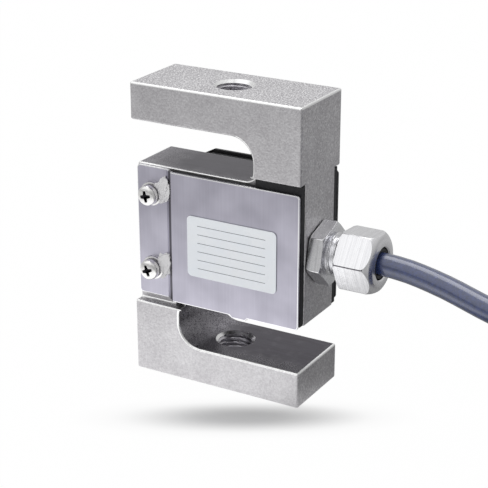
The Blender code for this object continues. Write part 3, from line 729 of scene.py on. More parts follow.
@dataclass(frozen=True)
class RolledSheet(Finish):
    """Stainless sheet with the fine lines of its rolling."""

    wander: Flat = (0.02, 0.02)
    bump: Flat = (0.08, 0.00001)
    shadow: str = "A19FAB"
    # Colour of the painted shade in the bend.
    dirt: str = "2A2630"
    # Rolling leaves lines of about 0.05 mm, drawn coarser so that they show.
    line: float = 0.0005
    cloud: float = 0.011
    shares: Flat = (0.15, 0.6)
    stain: float = 0.0008

    def dress(self, tree: Tree, shader: Node, place: Socket) -> None:
        """Add faint lines along the height, soft clouds of handling, and a line of painted shade in the bend
        by the panel.
        """
        shader.inputs["Metallic"].default_value = 1.0
        along = add(tree, "ShaderNodeMapping", {"Vector": place, "Scale": (1.0, 1.0, 0.02)}).outputs[0]
        lines = varied(tree, along, self.line, 0.0, 1.0, Detail=3.0)
        cloud = varied(tree, place, self.cloud, 0.0, 1.0, Detail=2.0)
        both = add(tree, "ShaderNodeMath", {0: lines, 1: self.shares[0]}, operation="MULTIPLY").outputs[0]
        takes = {0: cloud, 1: self.shares[1], 2: both}
        both = add(tree, "ShaderNodeMath", takes, operation="MULTIPLY_ADD").outputs[0]
        across = add(tree, "ShaderNodeSeparateXYZ", {0: place}).outputs["X"]
        # Painted shade: a dark line where the joggle bends into the panel.
        takes = {0: across, 1: PLAN.joggle_end - self.stain}
        away = add(tree, "ShaderNodeMath", takes, operation="SUBTRACT").outputs[0]
        away = add(tree, "ShaderNodeMath", {0: away}, operation="ABSOLUTE").outputs[0]
        takes = {0: away, 1: 0.6 * self.stain, 2: self.stain, 3: 0.9, 4: 0.0}
        bend_shaded = add(tree, "ShaderNodeMapRange", takes).outputs[0]
        rough = self.gloss(tree, along, 2 * self.line)
        layers = ((both, self.colour), (bend_shaded, self.dirt))
        self.lay(tree, shader, self.shadow, layers, rough, lines)


@dataclass(frozen=True)
class BrightNickel(Finish):
    """Brass or steel, turned and nickel plated, with the fine marks of its turning."""

    wander: Flat = (0.05, 0.06)
    bump: Flat = (0.2, 0.000012)
    shadow: str = "C6C5C8"
    # Turning marks lie about 0.1 mm apart, and are drawn coarser so that they show.
    mark: float = 0.00035
    along: Place = (1.0, 0.012, 0.012)
    patch: float = 0.0012

    def dress(self, tree: Tree, shader: Node, place: Socket) -> None:
        """Add the turning marks, which run round the part's axis, and small changes of gloss."""
        shader.inputs["Metallic"].default_value = 1.0
        drawn = add(tree, "ShaderNodeMapping", {"Vector": place, "Scale": self.along}).outputs[0]
        marks = varied(tree, drawn, self.mark, 0.0, 1.0, Detail=2.0)
        rough = self.gloss(tree, place, self.patch)
        self.lay(tree, shader, self.shadow, ((marks, self.colour),), rough, marks)


@dataclass(frozen=True)
class MouldedRubber(Finish):
    """Nitrile or chloroprene rubber, moulded, or a plastic with a like matt skin."""

    wander: Flat = (0.06, 0.08)
    bump: Flat = (0.3, 0.00002)
    light: str = "15151C"
    # The mould's own texture, about 0.3 mm.
    grain: float = 0.0003

    def dress(self, tree: Tree, shader: Node, place: Socket) -> None:
        """Add a fine matt skin with a little dust in it."""
        dust = varied(tree, place, 6 * self.grain, 0.0, 1.0, Detail=4.0)
        rough = self.gloss(tree, place, 3 * self.grain)
        skin = varied(tree, place, self.grain, 0.0, 1.0)
        self.lay(tree, shader, self.colour, ((dust, self.light),), rough, skin)


@dataclass(frozen=True)
class PowderCoat(Finish):
    """Steel sheet with a black powder coat."""

    wander: Flat = (0.05, 0.06)
    bump: Flat = (0.3, 0.00004)
    light: str = "1B1B20"
    # The orange peel of a powder coat, about 1 mm.
    peel: float = 0.0011

    def dress(self, tree: Tree, shader: Node, place: Socket) -> None:
        """Add the orange peel of the coat."""
        peel = varied(tree, place, self.peel, 0.0, 1.0, Detail=1.0)
        rough = self.gloss(tree, place, 3 * self.peel)
        self.lay(tree, shader, self.colour, ((peel, self.light),), rough, peel)


@dataclass(frozen=True)
class CableJacket(Finish):
    """Extruded PVC jacket over twisted cores."""

    wander: Flat = (0.07, 0.09)
    bump: Flat = (0.25, 0.0004)
    light: str = "2E3E72"
    # How far apart the cores swell the jacket, how wide a scuff is, and how far its gloss keeps.
    twist: float = 0.012
    scuff: float = 0.0009
    patch: float = 0.004

    def dress(self, tree: Tree, shader: Node, place: Socket) -> None:
        """Add the slow swelling of the cores under the jacket and small scuffs."""
        shader.inputs["Coat Weight"].default_value = 1.0
        shader.inputs["Coat Roughness"].default_value = 0.14
        shader.inputs["Coat IOR"].default_value = 1.7
        swell = varied(tree, place, self.twist, 0.0, 1.0, Detail=1.0)
        scuff = varied(tree, place, self.scuff, 0.0, 1.0, Detail=3.0)
        rough = self.gloss(tree, place, self.patch)
        self.lay(tree, shader, self.colour, ((scuff, self.light),), rough, swell)


@dataclass(frozen=True)
class PlasticSkin(Finish):
    """A moulded or extruded plastic such as nylon, PVC insulation or polyester film."""

    light: str = "FFFFFF"
    # Flow marks of about half a millimetre.
    grain: float = 0.0006
    clear: float = 0.0

    def dress(self, tree: Tree, shader: Node, place: Socket) -> None:
        """Add slight changes of colour and gloss."""
        shader.inputs["Transmission Weight"].default_value = self.clear
        patch = varied(tree, place, 5 * self.grain, 0.0, 0.35, Detail=2.0)
        rough = self.gloss(tree, place, 4 * self.grain)
        skin = varied(tree, place, self.grain, 0.0, 1.0)
        self.lay(tree, shader, self.colour, ((patch, self.light),), rough, skin)


# Even satin grey, with a painted sparkle of light and dark flecks on the faces that look up.
BLOCK_STEEL = BlastedNickel("blasted nickel steel", "block_steel", "D3D2D4", roughness=0.46)
# Painted highlight: white lines on the rounded edges that face up, and white rings on the countersinks.
EDGE_HIGHLIGHT = BrightNickel("rubbed nickel edges", "block_steel", "FFFFFF", roughness=0.3, shadow="ECECEC")
# Painted shade: dark mirror-like slots, which turn pale and grainy towards the front.
SLOT_STEEL = MilledNickel("milled nickel steel", "block_steel", "55525A", roughness=0.22)
# Painted light and shade in the threaded bores: bright rings, with grey shade between them.
BORE_NICKEL = BrightNickel(
    "shaded thread nickel",
    "block_steel",
    "E2E0E5",
    roughness=0.3,
    shadow="8E8C92",
    mark=0.0006,
    along=(0.02, 0.02, 1.0),
)
# A cool, soft sheen with faint upright lines, and a line of painted shade in the bend.
COVER_SHEET = RolledSheet("rolled stainless sheet", "cover_sheet", "C8C6D3", roughness=0.33)
# Painted highlight: a white line on the sheared rim of the sheet.
SHEET_RIM = RolledSheet("bright sheet rim", "cover_sheet", "FFFFFF", roughness=0.28, shadow="F0F0F4")
# Near black with a soft, slightly uneven gloss.
COVER_BLACK = PowderCoat("black powder coat", "cover_black", "0A0A0E", roughness=0.42)
# A dull black line under each cover.
GASKET_RUBBER = MouldedRubber("gasket rubber", "gasket_rubber", "08080E", roughness=0.62)
# A pale, cool and smooth plate.
PLATE_FOIL = PlasticSkin(
    "pale polyester foil", "label_foil", "F4F9FF", roughness=0.3, light="FFFFFF", grain=0.0015
)
# Thin dull blue-black rules.
PLATE_INK = PlasticSkin("printed ink", "label_foil", "2A3048", roughness=0.5, light="3A4058", grain=0.0004)
# Bright round heads with sharp highlights.
SCREW_NICKEL = BrightNickel(
    "nickel plated screw steel",
    "screw_steel",
    "F2F1F0",
    roughness=0.24,
    shadow="DAD9D9",
    mark=0.0003,
    along=(0.3, 1.0, 0.3),
)
# Painted shade that keeps the cross of a screw dark.
CROSS_SHADE = BrightNickel("soiled cross recess", "screw_steel", "4A484E", roughness=0.4, shadow="26242A")
# Painted shade: the darker grey ring of a spring washer, for the shade between screw head and washer.
SPRING_WASHER_SHADE = BrightNickel(
    "grey spring steel",
    "screw_steel",
    "8A888E",
    roughness=0.34,
    shadow="5C5A60",
    mark=0.0003,
    along=(0.3, 1.0, 0.3),
)
# The clearest mirror of the object, with faint rings.
GLAND_NICKEL = BrightNickel(
    "nickel plated brass", "gland_brass_plated", "F2F2F4", roughness=0.22, shadow="DCDCDF"
)
# Painted dark reflection: a grey line along the nut's corner that faces the front.
NUT_DARK_REFLECTION = BrightNickel("grimy nut edges", "gland_brass_plated", "7E7C82", roughness=0.32, shadow="504E54")
# A dull black ring in the nut's mouth.
SEAL_RUBBER = MouldedRubber("seal rubber", "seal_rubber", "06060A", roughness=0.5)
# Slate blue under a glossy skin.
CABLE_PVC = CableJacket("cable jacket PVC", "cable_jacket", "1D2B52", roughness=0.3)
# Black with a soft gloss.
TIE_NYLON = PlasticSkin("black nylon", "tie_plastic", "0B0B0C", roughness=0.38, light="1A1A1C", grain=0.0008)
# Milky and wet, a little see-through.
SEALANT = PlasticSkin(
    "clear silicone sealant",
    "label_foil",
    "EFEEF0",
    roughness=0.15,
    light="FFFFFF",
    grain=0.0012,
    clear=0.1,
    bump=(0.2, 0.00015),
)
# Amber film.
GAUGE_FILM = PlasticSkin(
    "polyimide gauge film", "gauge_foil", "B4691E", roughness=0.35, light="D08A3A", grain=0.0005
)
# Deep green with a waxy gloss.
BOARD_EPOXY = PlasticSkin(
    "green epoxy board", "board_laminate", "1D5A36", roughness=0.42, light="2E7A4C", grain=0.0006
)
# Warm, bright and varnished.
COPPER_WIRE = BrightNickel(
    "enamelled copper wire", "jumper_copper", "D98A5A", roughness=0.28, shadow="B5683C", mark=0.0003
)
# Soft silver grey.
TINNED_COPPER = BrightNickel(
    "tinned copper", "tinned_copper", "D0D0D4", roughness=0.3, shadow="A6A6AC", mark=0.0002
)
# Plain extruded colours with a soft gloss, a deep and a light tone of each.
INSULATION = {
    hue: PlasticSkin(
        f"{hue} insulation", f"insulation_{hue}", deep, roughness=0.38, light=light, grain=0.0006
    )
    for hue, deep, light in (
        ("red", "A81818", "C83030"),
        ("black", "0D0D0F", "1E1E22"),
        ("green", "1E7A34", "339A4C"),
        ("white", "DCDCD6", "EEEEEA"),
    )
}


class Recipe:
    """A Geometry Nodes tree with named inputs for its sizes."""

    def __init__(self, title: str, inputs: dict[str, str]) -> None:
        """Start the tree.

        Args:
            title: the tree's name.
            inputs: the type of each input, by name.
        """
        self.tree = bpy.data.node_groups.new(title, "GeometryNodeTree")
        self.sockets: dict[str, str] = {}
        for name, kind in {"Geometry": "Geometry", **inputs, "Finish": "Material"}.items():
            made = self.tree.interface.new_socket(name, in_out="INPUT", socket_type=f"NodeSocket{kind}")
            self.sockets[name] = made.identifier
        self.tree.interface.new_socket("Geometry", in_out="OUTPUT", socket_type="NodeSocketGeometry")
        self.given = self.tree.nodes.new("NodeGroupInput").outputs

    def end_with(self, geometry: Socket) -> None:
        """Realize the geometry, give it its finish and lead it to the output.

        Args:
            geometry: the geometry's socket.
        """
        real = add(self.tree, "GeometryNodeRealizeInstances", {0: geometry})
        takes = {0: real.outputs[0], "Material": self.given["Finish"]}
        done = add(self.tree, "GeometryNodeSetMaterial", takes)
        add(self.tree, "NodeGroupOutput", {0: done.outputs[0]})

    def make(self, name: str, finish: Finish, mesh: bpy.types.Mesh | None = None, **sizes: object) -> Piece:
        """Run the tree and keep what it makes as a plain mesh.

        Args:
            name: the new object's name.
            finish: its finish.
            mesh: the mesh that the tree starts from.
            sizes: the inputs' values, with _ for each space in a name.

        Returns:
            The new object.
        """
        obj = link(name, mesh or bpy.data.meshes.new(name))
        modifier = obj.modifiers.new(self.tree.name, "NODES")
        modifier.node_group = self.tree
        modifier[self.sockets["Finish"]] = finish.material()
        for key, size in sizes.items():
            modifier[self.sockets[key.replace("_", " ")]] = size
        return settle(obj)


def thread_recipe() -> Recipe:
    """Build the tree of a helical thread with closed ends, round local Z from 0 up.

    Returns:
        The recipe.
    """
    sizes = ("Inside Radius", "Root Radius", "Depth", "Pitch", "Length")
    counts = ("Sides", "Rows")
    recipe = Recipe("thread", {**dict.fromkeys(sizes, "Float"), **dict.fromkeys(counts, "Int")})
    tree, given = recipe.tree, recipe.given
    spot = add(tree, "ShaderNodeSeparateXYZ", {0: add(tree, "GeometryNodeInputPosition").outputs[0]})
    known = {name: given[name] for name in (*sizes, *counts)}
    known |= {"across": spot.outputs[0], "up": spot.outputs[1]}
    # A flat grid is rolled up: its columns go round, its rows go up, and its end rows close the tube.
    for name, operation, *terms in (
        ("columns", "ADD", "Sides", 1),
        ("turn", "ADD", "across", 0.5),
        ("last", "SUBTRACT", "Rows", 1),
        ("row", "ADD", "up", 0.5),
        ("row", "MULTIPLY", "row", "last"),
        ("spaces", "SUBTRACT", "Rows", 4),
        ("share", "SUBTRACT", "row", 1),
        ("share", "DIVIDE", "share", "spaces"),
        ("share", "MAXIMUM", "share", 0.0),
        ("share", "MINIMUM", "share", 1.0),
        ("closing", "SUBTRACT", "last", 0.5),
        ("closing", "GREATER_THAN", "row", "closing"),
        ("open", "SUBTRACT", 1, "closing"),
        ("height", "MULTIPLY", "share", "Length"),
        ("height", "MULTIPLY", "height", "open"),
        ("phase", "DIVIDE", "height", "Pitch"),
        ("phase", "SUBTRACT", "phase", "turn"),
        ("phase", "ADD", "phase", 10),
        ("phase", "FRACT", "phase"),
        ("ramp", "MULTIPLY", "phase", 2),
        ("ramp", "SUBTRACT", "ramp", 1),
        ("ramp", "ABSOLUTE", "ramp"),
        ("ramp", "SUBTRACT", 1, "ramp"),
        ("flank", "MULTIPLY_ADD", "ramp", 1.35, -0.2),
        ("flank", "MAXIMUM", "flank", 0.0),
        ("flank", "MINIMUM", "flank", 1.0),
        ("outside", "MULTIPLY_ADD", "flank", "Depth", "Root Radius"),
        ("first", "LESS_THAN", "row", 0.5),
        ("inner", "SUBTRACT", "last", 1.5),
        ("inner", "GREATER_THAN", "row", "inner"),
        ("inner", "MAXIMUM", "first", "inner"),
        ("outer", "SUBTRACT", 1, "inner"),
        ("inner", "MULTIPLY", "inner", "Inside Radius"),
        ("outer", "MULTIPLY", "outer", "outside"),
        ("radius", "ADD", "inner", "outer"),
        ("angle", "MULTIPLY", "turn", 2 * math.pi),
        ("x", "COSINE", "angle"),
        ("x", "MULTIPLY", "radius", "x"),
        ("y", "SINE", "angle"),
        ("y", "MULTIPLY", "radius", "y"),
    ):
        known[name] = add(tree, "ShaderNodeMath", numbered(terms, known), operation=operation).outputs[0]
    takes = {"Size X": 1.0, "Size Y": 1.0, "Vertices X": known["columns"], "Vertices Y": given["Rows"]}
    grid = add(tree, "GeometryNodeMeshGrid", takes)
    bent = add(tree, "ShaderNodeCombineXYZ", {0: known["x"], 1: known["y"], 2: known["height"]})
    placed = add(tree, "GeometryNodeSetPosition", {0: grid.outputs[0], "Position": bent.outputs[0]})
    closed = add(tree, "GeometryNodeMergeByDistance", {0: placed.outputs[0], "Distance": 1e-6})
    recipe.end_with(closed.outputs[0])
    return recipe


def facing_out(obj: Piece, turn: Matrix | None = None) -> Piece:
    """Merge a mesh's doubles, point its faces out and put it in place.

    Args:
        obj: the object.
        turn: where its mesh goes.

    Returns:
        The same object.
    """
    bm = bmesh.new()
    bm.from_mesh(obj.data)
    bmesh.ops.remove_doubles(bm, verts=bm.verts, dist=1e-7)
    bmesh.ops.dissolve_degenerate(bm, edges=bm.edges, dist=1e-8)
    bmesh.ops.recalc_face_normals(bm, faces=bm.faces)
    if turn is not None:
        bm.transform(turn)
    bm.to_mesh(obj.data)
    bm.free()
    return obj


def spread_recipe() -> Recipe:
    """Build the tree that puts a copy of a shape on each point, turned by the point's own angles.

    Returns:
        The recipe.
    """
    recipe = Recipe("spread", {"Shape": "Object"})
    tree, given = recipe.tree, recipe.given
    shape = add(tree, "GeometryNodeObjectInfo", {"Object": given["Shape"]})
    facing = add(tree, "GeometryNodeInputNamedAttribute", {"Name": "facing"})
    spin = add(tree, "GeometryNodeInputNamedAttribute", {"Name": "spin"})
    tip = add(tree, "ShaderNodeCombineXYZ", {0: facing.outputs[0]})
    turn = add(tree, "ShaderNodeCombineXYZ", {2: spin.outputs[0]})
    copies = add(
        tree,
        "GeometryNodeInstanceOnPoints",
        {0: given["Geometry"], "Instance": shape.outputs["Geometry"], "Rotation": tip.outputs[0]},
    )
    turned = add(
        tree,
        "GeometryNodeRotateInstances",
        {0: copies.outputs[0], "Rotation": turn.outputs[0], "Local Space": True},
    )
    recipe.end_with(turned.outputs[0])
    return recipe


@dataclass
class Block:
    """The S-shaped block with its threaded load holes, its recesses and its gauge pockets."""

    arm_corner: float = 0.0065
    core_corner: float = 0.004
    edge: float = 0.00055
    recess_edge: float = 0.0004
    minor_radius: float = 0.0044
    thread_depth: float = 0.0006
    thread_pitch: float = 0.00125
    thread_sides: int = 72
    rows_a_turn: int = 12
    mouth_radius: float = 0.00545
    mouth_rim: float = 0.00003
    pocket_corner: float = 0.005
    web: float = 0.0025
    # Radius and depth of each stepped hole.
    screw_hole: Flat = (0.0016, 0.006)
    gland_hole: Flat = (0.0061, 0.0085)
    gland_groove: Flat = (0.0073, 0.0012)
    passage: float = 0.004
    over: float = 0.002
    # How far up a rounded edge must face to keep its painted highlight.
    rubbed_above: float = 0.25

    def outline(self) -> list[Flat]:
        """List the outline of the S, anticlockwise from the bottom left corner.

        Returns:
            The points as x and height.
        """
        p = PLAN
        slot_end = p.half_width - p.column
        lower = [(-p.half_width, 0.0), (p.half_width, 0.0), (p.half_width, p.arm)]
        for radius, height, start, end, steps in (
            (self.arm_corner, p.arm + self.arm_corner, 270, 180, 20),
            (self.core_corner, p.core_bottom - self.core_corner, 180, 90, 14),
        ):
            lower += arc((radius - slot_end, height), radius, start, end, steps)
        lower += [(p.half_width, p.core_bottom)]
        return lower + [(-x, p.height - z) for x, z in lower]

    def load_hole(self, name: str, low: float, thread: Recipe) -> list[Piece]:
        """Make the tools of one arm's threaded hole.

        Args:
            name: the hole's name.
            low: the arm's lower face.
            thread: the thread's tree.

        Returns:
            The threaded tool and the countersinks of both mouths.
        """
        length = PLAN.arm + 2 * self.over
        screw = thread.make(
            f"{name} thread",
            BLOCK_STEEL,
            Inside_Radius=0.0,
            Root_Radius=self.minor_radius,
            Depth=self.thread_depth,
            Pitch=self.thread_pitch,
            Length=length,
            Sides=self.thread_sides,
            Rows=round(self.rows_a_turn * length / self.thread_pitch),
        )
        tools = [facing_out(screw, Matrix.Translation((0, 0, low - self.over)))]
        depth = self.mouth_radius - self.minor_radius + self.edge
        for mouth, inwards in ((low, 1), (low + PLAN.arm, -1)):
            profile = (
                (0, mouth - inwards * self.over),
                (self.mouth_radius + self.over, mouth - inwards * self.over),
                (self.mouth_radius - depth, mouth + inwards * depth),
                (0, mouth + inwards * depth),
            )
            tools.append(lathe(f"{name} mouth", profile, sides=72))
        return tools

    def gland_bore(self) -> Piece:
        """Make the stepped tool of the gland's hole, from the right face into both pockets."""
        p = PLAN
        out, groove = p.half_width + self.over, p.half_width - self.gland_groove[1]
        shoulder, end = p.half_width - self.gland_hole[1], p.pocket_side - self.over
        profile = ((0, out), (self.gland_groove[0], out), (self.gland_groove[0], groove))
        profile += ((self.gland_hole[0], groove), (self.gland_hole[0], shoulder))
        profile += ((self.passage, shoulder), (self.passage, end), (0, end))
        return lathe("gland bore", profile, sides=64, turn=Matrix.Translation((0, 0, p.middle)) @ ALONG_CABLE)

    def side_tools(self, side: Side) -> list[Piece]:
        """Make the tools of one side's gauge pocket and screw holes.

        Args:
            side: the side.

        Returns:
            The tools.
        """
        p = PLAN
        end = p.core_height / 2 - p.pocket_end_wall
        low, high = (-p.pocket_side, -end), (p.pocket_side, end)
        outline = rounded_rectangle(low, high, self.pocket_corner, steps=10)
        middle = Matrix.Translation((0, 0, p.middle)) @ side.turn
        tools = [prism(f"{side.word} pocket", outline, self.web / 2, p.half_depth, middle)]
        for name, x, z in p.screw_places:
            at = Matrix.Translation((x, side.value * p.recess_floor, z)) @ side.turn
            radius, depth = self.screw_hole
            profile = ((0, -depth), (radius, -depth), (radius, self.over), (0, self.over))
            tools.append(lathe(f"{side.word} {name} hole", profile, sides=32, turn=at))
        return tools

    def in_slot(self, spot: Vector) -> bool:
        """Tell whether a spot of the surface lies in one of the two milled slots.

        Args:
            spot: the spot.

        Returns:
            Whether it does.
        """
        p = PLAN
        rise = abs(spot.z - p.middle) - p.core_height / 2
        outwards = spot.x if spot.z < p.middle else -spot.x
        opened = p.column - p.half_width - HAIR < outwards < p.half_width - HAIR
        within = opened and abs(spot.y) < p.half_depth - HAIR
        return within and -HAIR < rise < p.slot + HAIR

    def in_hole(self, spot: Vector) -> BlockFace:
        """Tell which finish a spot of the surface has for lying inside a load hole.

        Args:
            spot: the spot.

        Returns:
            The painted highlight on a countersink, THREAD on the thread, and BLASTED outside the holes.
        """
        low = min(spot.z, PLAN.height - spot.z)
        inside = min(low, PLAN.arm - low)
        away = math.hypot(spot.x, spot.y)
        if inside < self.mouth_rim or away > self.mouth_radius:
            return BlockFace.BLASTED
        return BlockFace.THREAD if inside > self.mouth_radius - away + HAIR else BlockFace.RUBBED

    def build(self, thread: Recipe) -> None:
        """Make the block.

        Args:
            thread: the thread's tree.
        """
        p = PLAN
        block = prism("block", self.outline(), -p.half_depth, p.half_depth, Side.FRONT.turn)
        for finish in (BLOCK_STEEL, EDGE_HIGHLIGHT):
            block.data.materials.append(finish.material())
        break_edges(block, self.edge, segments=3, rim=BlockFace.RUBBED)
        recesses = []
        for side in Side:
            near, far = sorted((side.value * p.recess_floor, side.value * (p.half_depth + self.over)))
            low = (-p.half_width - self.over, near, p.core_bottom - p.ledge)
            high = (p.half_width + self.over, far, p.core_top + p.ledge)
            recesses.append(box(f"{side.word} recess", low, high))
        cut(block, *recesses)
        break_edges(block, self.recess_edge, segments=3, above=60, clamped=False, rim=BlockFace.RUBBED)
        tools = self.load_hole("lower", 0, thread) + self.load_hole("upper", p.height - p.arm, thread)
        tools += self.side_tools(Side.FRONT) + self.side_tools(Side.REAR) + [self.gland_bore()]
        shade(cut(block, *tools), sharp=32)
        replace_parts(BLOCK_STEEL.put_on(block, EDGE_HIGHLIGHT, SLOT_STEEL, BORE_NICKEL), "s_body")
        # Rounded edges turned from the light lose their painted highlight; faces in the slots take the
        # painted slot shade.
        for face in block.data.polygons:
            outside = abs(face.center.x) > p.half_width - self.edge
            turned_from_light = face.normal.z < (1 if outside else -1) * self.rubbed_above
            if face.material_index == BlockFace.BLASTED or turned_from_light:
                face.material_index = BlockFace.MILLED if self.in_slot(face.center) else BlockFace.BLASTED
            face.material_index = self.in_hole(face.center) or face.material_index
        LOG.info("block: %d faces", len(block.data.polygons))


@dataclass
class Cover:
    """A bent sheet cover: a screwed flange on the left and a raised panel over the gauge pocket."""

    side: Side
    finish: Finish
    rim: Finish
    lift: float = 0.0
    inset: float = 0.0002
    corner: float = 0.0011
    bend: float = 0.0009
    # Where the small tab on the lower rim starts and ends.
    tab: Flat = (0.0045, 0.0100)
    tab_drop: float = 0.0007
    flange_drop: float = 0.0
    foot: float = 0.0
    hole: float = 0.0017
    edge: float = 0.0003
    over: float = 0.002

    def section(self) -> list[Flat]:
        """List the bent sheet's section in plan, with round bends.

        Returns:
            The points as x and y.
        """
        p = PLAN
        inside = p.half_depth - p.sheet
        slope = math.atan2(p.half_depth - p.flange_face, p.joggle_run)
        shift = p.sheet * math.tan(slope / 2)
        outer = ((-p.cover_side, p.flange_face), (p.joggle_start, p.flange_face))
        outer += ((p.joggle_end, p.half_depth), (p.cover_side, p.half_depth))
        inner = ((p.cover_side, inside), (p.joggle_end + shift, inside))
        inner += ((p.joggle_start + shift, p.flange_face - p.sheet), (-p.cover_side, p.flange_face - p.sheet))
        line = rounded_bends(outer, self.bend) + rounded_bends(inner, self.bend)
        return [(x, self.side.value * y) for x, y in line]

    def trim(self) -> Piece:
        """Make the tool that gives the sheet its round corners and its tab."""
        p = PLAN
        low = (-p.cover_side, p.core_bottom + self.inset + self.lift - self.foot)
        high = (p.cover_side, p.core_top - self.inset + self.lift)
        r = self.corner
        start, end = self.tab
        outline = [(start, low[1]), (start + self.tab_drop, low[1] - self.tab_drop)]
        outline += [(end - self.tab_drop, low[1] - self.tab_drop), (end, low[1])]
        outline += arc((high[0] - r, low[1] + r), r, -90, 0, 8) + arc((high[0] - r, high[1] - r), r, 0, 90, 8)
        step, drop = p.joggle_start, high[1] - self.flange_drop
        if self.flange_drop:
            outline += [(p.joggle_end + self.tab_drop, high[1]), (step, drop)]
        outline += arc((low[0] + r, drop - r), r, 90, 180, 8) + arc((low[0] + r, low[1] + r), r, 180, 270, 8)
        reach = (-self.side.value * y for y in (p.recess_floor - self.over, p.half_depth + self.over))
        return prism("cover trim", outline, *sorted(reach), Side.FRONT.turn)

    def build(self) -> None:
        """Make the cover."""
        p = PLAN
        low, high = p.core_bottom - self.over, p.core_top + self.over
        cover = prism(f"{self.side.word}_sheet", self.section(), low, high)
        cut(cover, self.trim(), operation="INTERSECT")
        holes = []
        for name, x, z in p.screw_places:
            at = Matrix.Translation((x, self.side.value * p.recess_floor, z)) @ self.side.turn
            profile = ((0, 0), (self.hole, 0), (self.hole, p.recess_depth), (0, p.recess_depth))
            holes.append(lathe(f"{name} cover hole", profile, sides=32, turn=at))
        cut(cover, *holes)
        for finish in (self.finish, self.rim):
            cover.data.materials.append(finish.material())
        shade(break_edges(cover, self.edge, segments=2, above=50, rim=1), sharp=30)
        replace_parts(self.finish.put_on(cover, self.rim), f"{self.side.word}_cover")
        LOG.info("%s cover: %d faces", self.side.word, len(cover.data.polygons))


